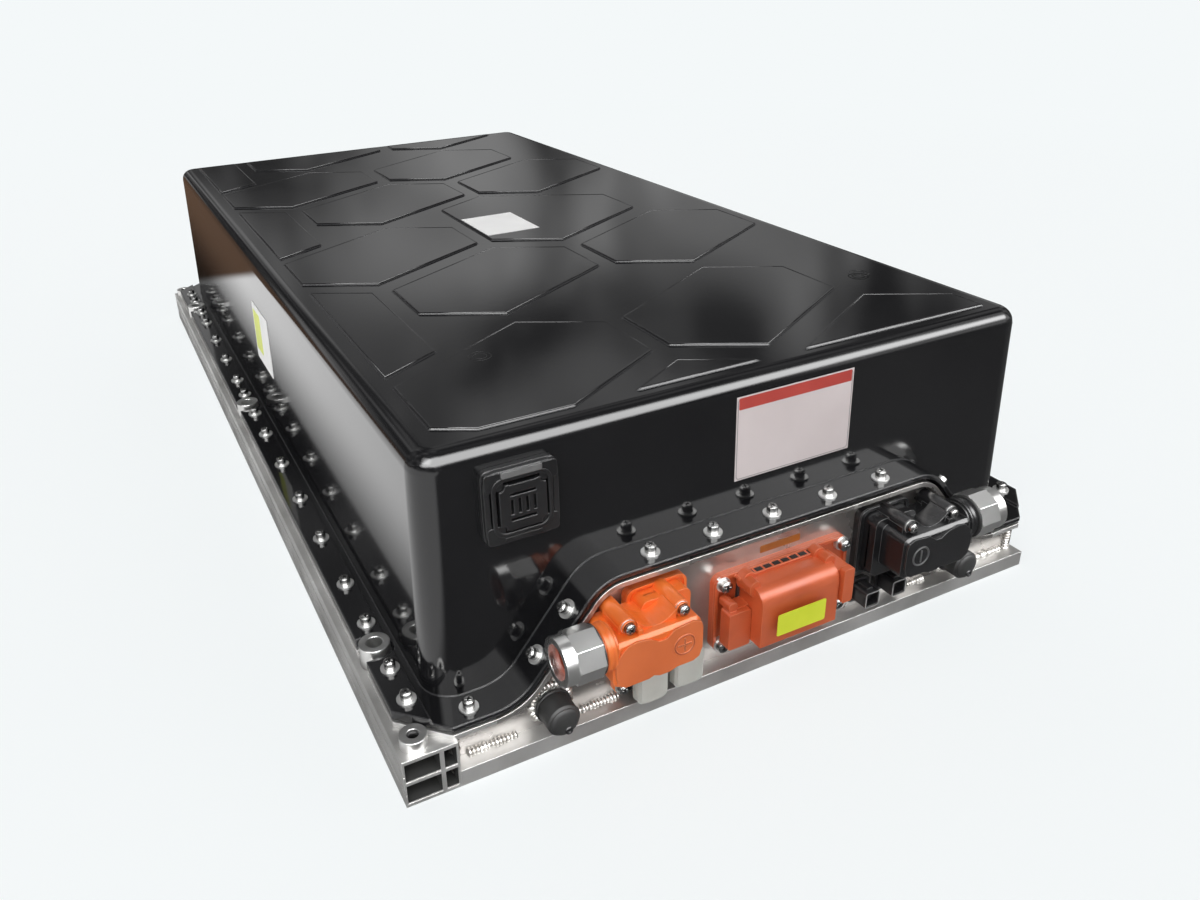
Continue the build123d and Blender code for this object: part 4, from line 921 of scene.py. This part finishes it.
# ---- Coolant circuit -----------------------------------------------------------------------------
# Aluminium spigots, tubes, manifolds and the cold plate under the modules, with soft grey pads
# on it. Each rubber cap has a rib round its mouth, a rounded end and a small pull ring.
wear_material(
    mill_aluminium, "coolant_port_left", "coolant_port_right", "coolant_tube_left",
    "coolant_tube_right", "coolant_manifold_left", "coolant_manifold_right", "cold_plate",
)
shape = bmesh.new()
for x in (-197, 197):
    lathe(shape, (x, -556.5, 34), (0, -1, 0), [(13.2, 0), (14.4, 0.6), (14.4, 2.4), (13.2, 3)],
          closed=True)
    lathe(shape, (x, -575.4, 34), (0, -1, 0), [(11.6, 0), (11, 1.6), (8, 2.6), (4, 3)])
    lathe(shape, (x + 2, -577.6, 27), (0, -1, 0), [(1.4, 0), (3, 0), (3, 1.6), (1.4, 1.6)],
          closed=True, sides=24, material=1)
finish_piece("coolant_cap_details", shape, [soft_rubber, satin_black])
pad_grey = finish_material(
    "thermal pad", (0.3, 0.3, 0.32), (0.4, 0.4, 0.42), (0.7, 0.85),
    scale={"Fineness": 800.0, "Blotches": 20.0}, bump=0.3,
)
wear_material(pad_grey, "thermal_pads")

# ---- Cell modules --------------------------------------------------------------------------------
# Prismatic cells in blue film, clamped between aluminium end plates by steel straps, with
# tinned copper links and busbars and a black switch box.
cell_film = finish_material(
    "blue cell film", (0.02, 0.06, 0.2), (0.03, 0.1, 0.3), (0.25, 0.4),
    scale={"Fineness": 300.0, "Blotches": 12.0}, bump=0.15,
)
wear_material(cell_film, *[name for name in nodes if name.startswith("cell_module")])
wear_material(mill_aluminium, "module_end_plates", "management_unit")
busbar_copper = finish_material(
    "tinned copper", (0.6, 0.28, 0.15), (0.78, 0.42, 0.25), (0.2, 0.36), metal=1.0,
    group=brushed_group, scale={"Along": 10.0, "Across": 900.0}, bump=0.1,
)
wear_material(busbar_copper, "module_links", "positive_busbar", "negative_busbar")
wear_material(satin_black, "switch_box", "switch_box_lid")

# ---- Stickers ------------------------------------------------------------------------------------
# Blank film stickers: a white one on the cover, a pale one with a plain red band on its front
# wall, a lime one on the disconnect, an amber strip over it and a pale one on the left wall.
film = {}
for name, dark, light, rough, blotches in (
    ("white film", (0.76, 0.76, 0.755), (0.82, 0.82, 0.815), (0.35, 0.45), 30.0),
    ("pale film", (0.6, 0.53, 0.53), (0.68, 0.61, 0.61), (0.3, 0.42), 12.0),
    ("red film", (0.42, 0.045, 0.035), (0.5, 0.06, 0.045), (0.3, 0.42), 30.0),
    ("lime film", (0.58, 0.66, 0.02), (0.68, 0.75, 0.04), (0.3, 0.42), 30.0),
    ("amber film", (0.3, 0.1, 0.012), (0.4, 0.15, 0.02), (0.3, 0.42), 60.0),
    ("sticker border", (0.16, 0.15, 0.15), (0.24, 0.22, 0.22), (0.3, 0.42), 60.0),
):
    film[name] = finish_material(name, dark, light, rough, bump=0.05,
                                 scale={"Fineness": 700.0, "Blotches": blotches})
wear_material(film["white film"], "top_blank_sticker")
wear_material(film["pale film"], "front_blank_sticker")
shape = bmesh.new()
label_x, label_z, label_back = 32, 194, -528.3
prism(shape, rounded(label_x, 223.2, 108, 9.6, 1), label_back, -528.7)
prism(shape, rounded(label_x, label_z, 110, 68, 3), label_back, -528.65,
      rounded(label_x, label_z, 109, 67, 2.6), 1)
pivot = Vector((label_x, -528.4, label_z))
bmesh.ops.rotate(shape, cent=pivot, matrix=lean_back, verts=shape.verts)
bmesh.ops.translate(shape, vec=(0, -1.35, 0), verts=shape.verts)
finish_piece("front_sticker_band", shape, [film["red film"], film["sticker border"]])
shape = bmesh.new()
prism(shape, rounded(-1, 64.5, 46, 19.5, 1.5), -592.8, -593.3)
finish_piece("disconnect_blank_sticker", shape, [film["lime film"]])
shape = bmesh.new()
prism(shape, rounded(8.5, 104.5, 39, 6.5, 1), -550.8, -551.3)
finish_piece("amber_blank_sticker", shape, [film["amber film"]])
shape = bmesh.new()
prism(shape, rounded(20, 4, 80, 66, 3), 0, -0.35)
prism(shape, rounded(0, 6, 34, 46, 3), -0.35, -0.5, material=1)
bmesh.ops.rotate(shape, matrix=Matrix.Rotation(-math.pi / 2, 3, "Z"), verts=shape.verts)
bmesh.ops.rotate(shape, matrix=Matrix.Rotation(wall_draught, 3, "Y"), verts=shape.verts)
bmesh.ops.translate(shape, vec=(-277.9, 0, 150), verts=shape.verts)
finish_piece("left_blank_sticker", shape, [film["white film"], film["lime film"]])

bpy.context.scene.view_settings.view_transform = "Standard"
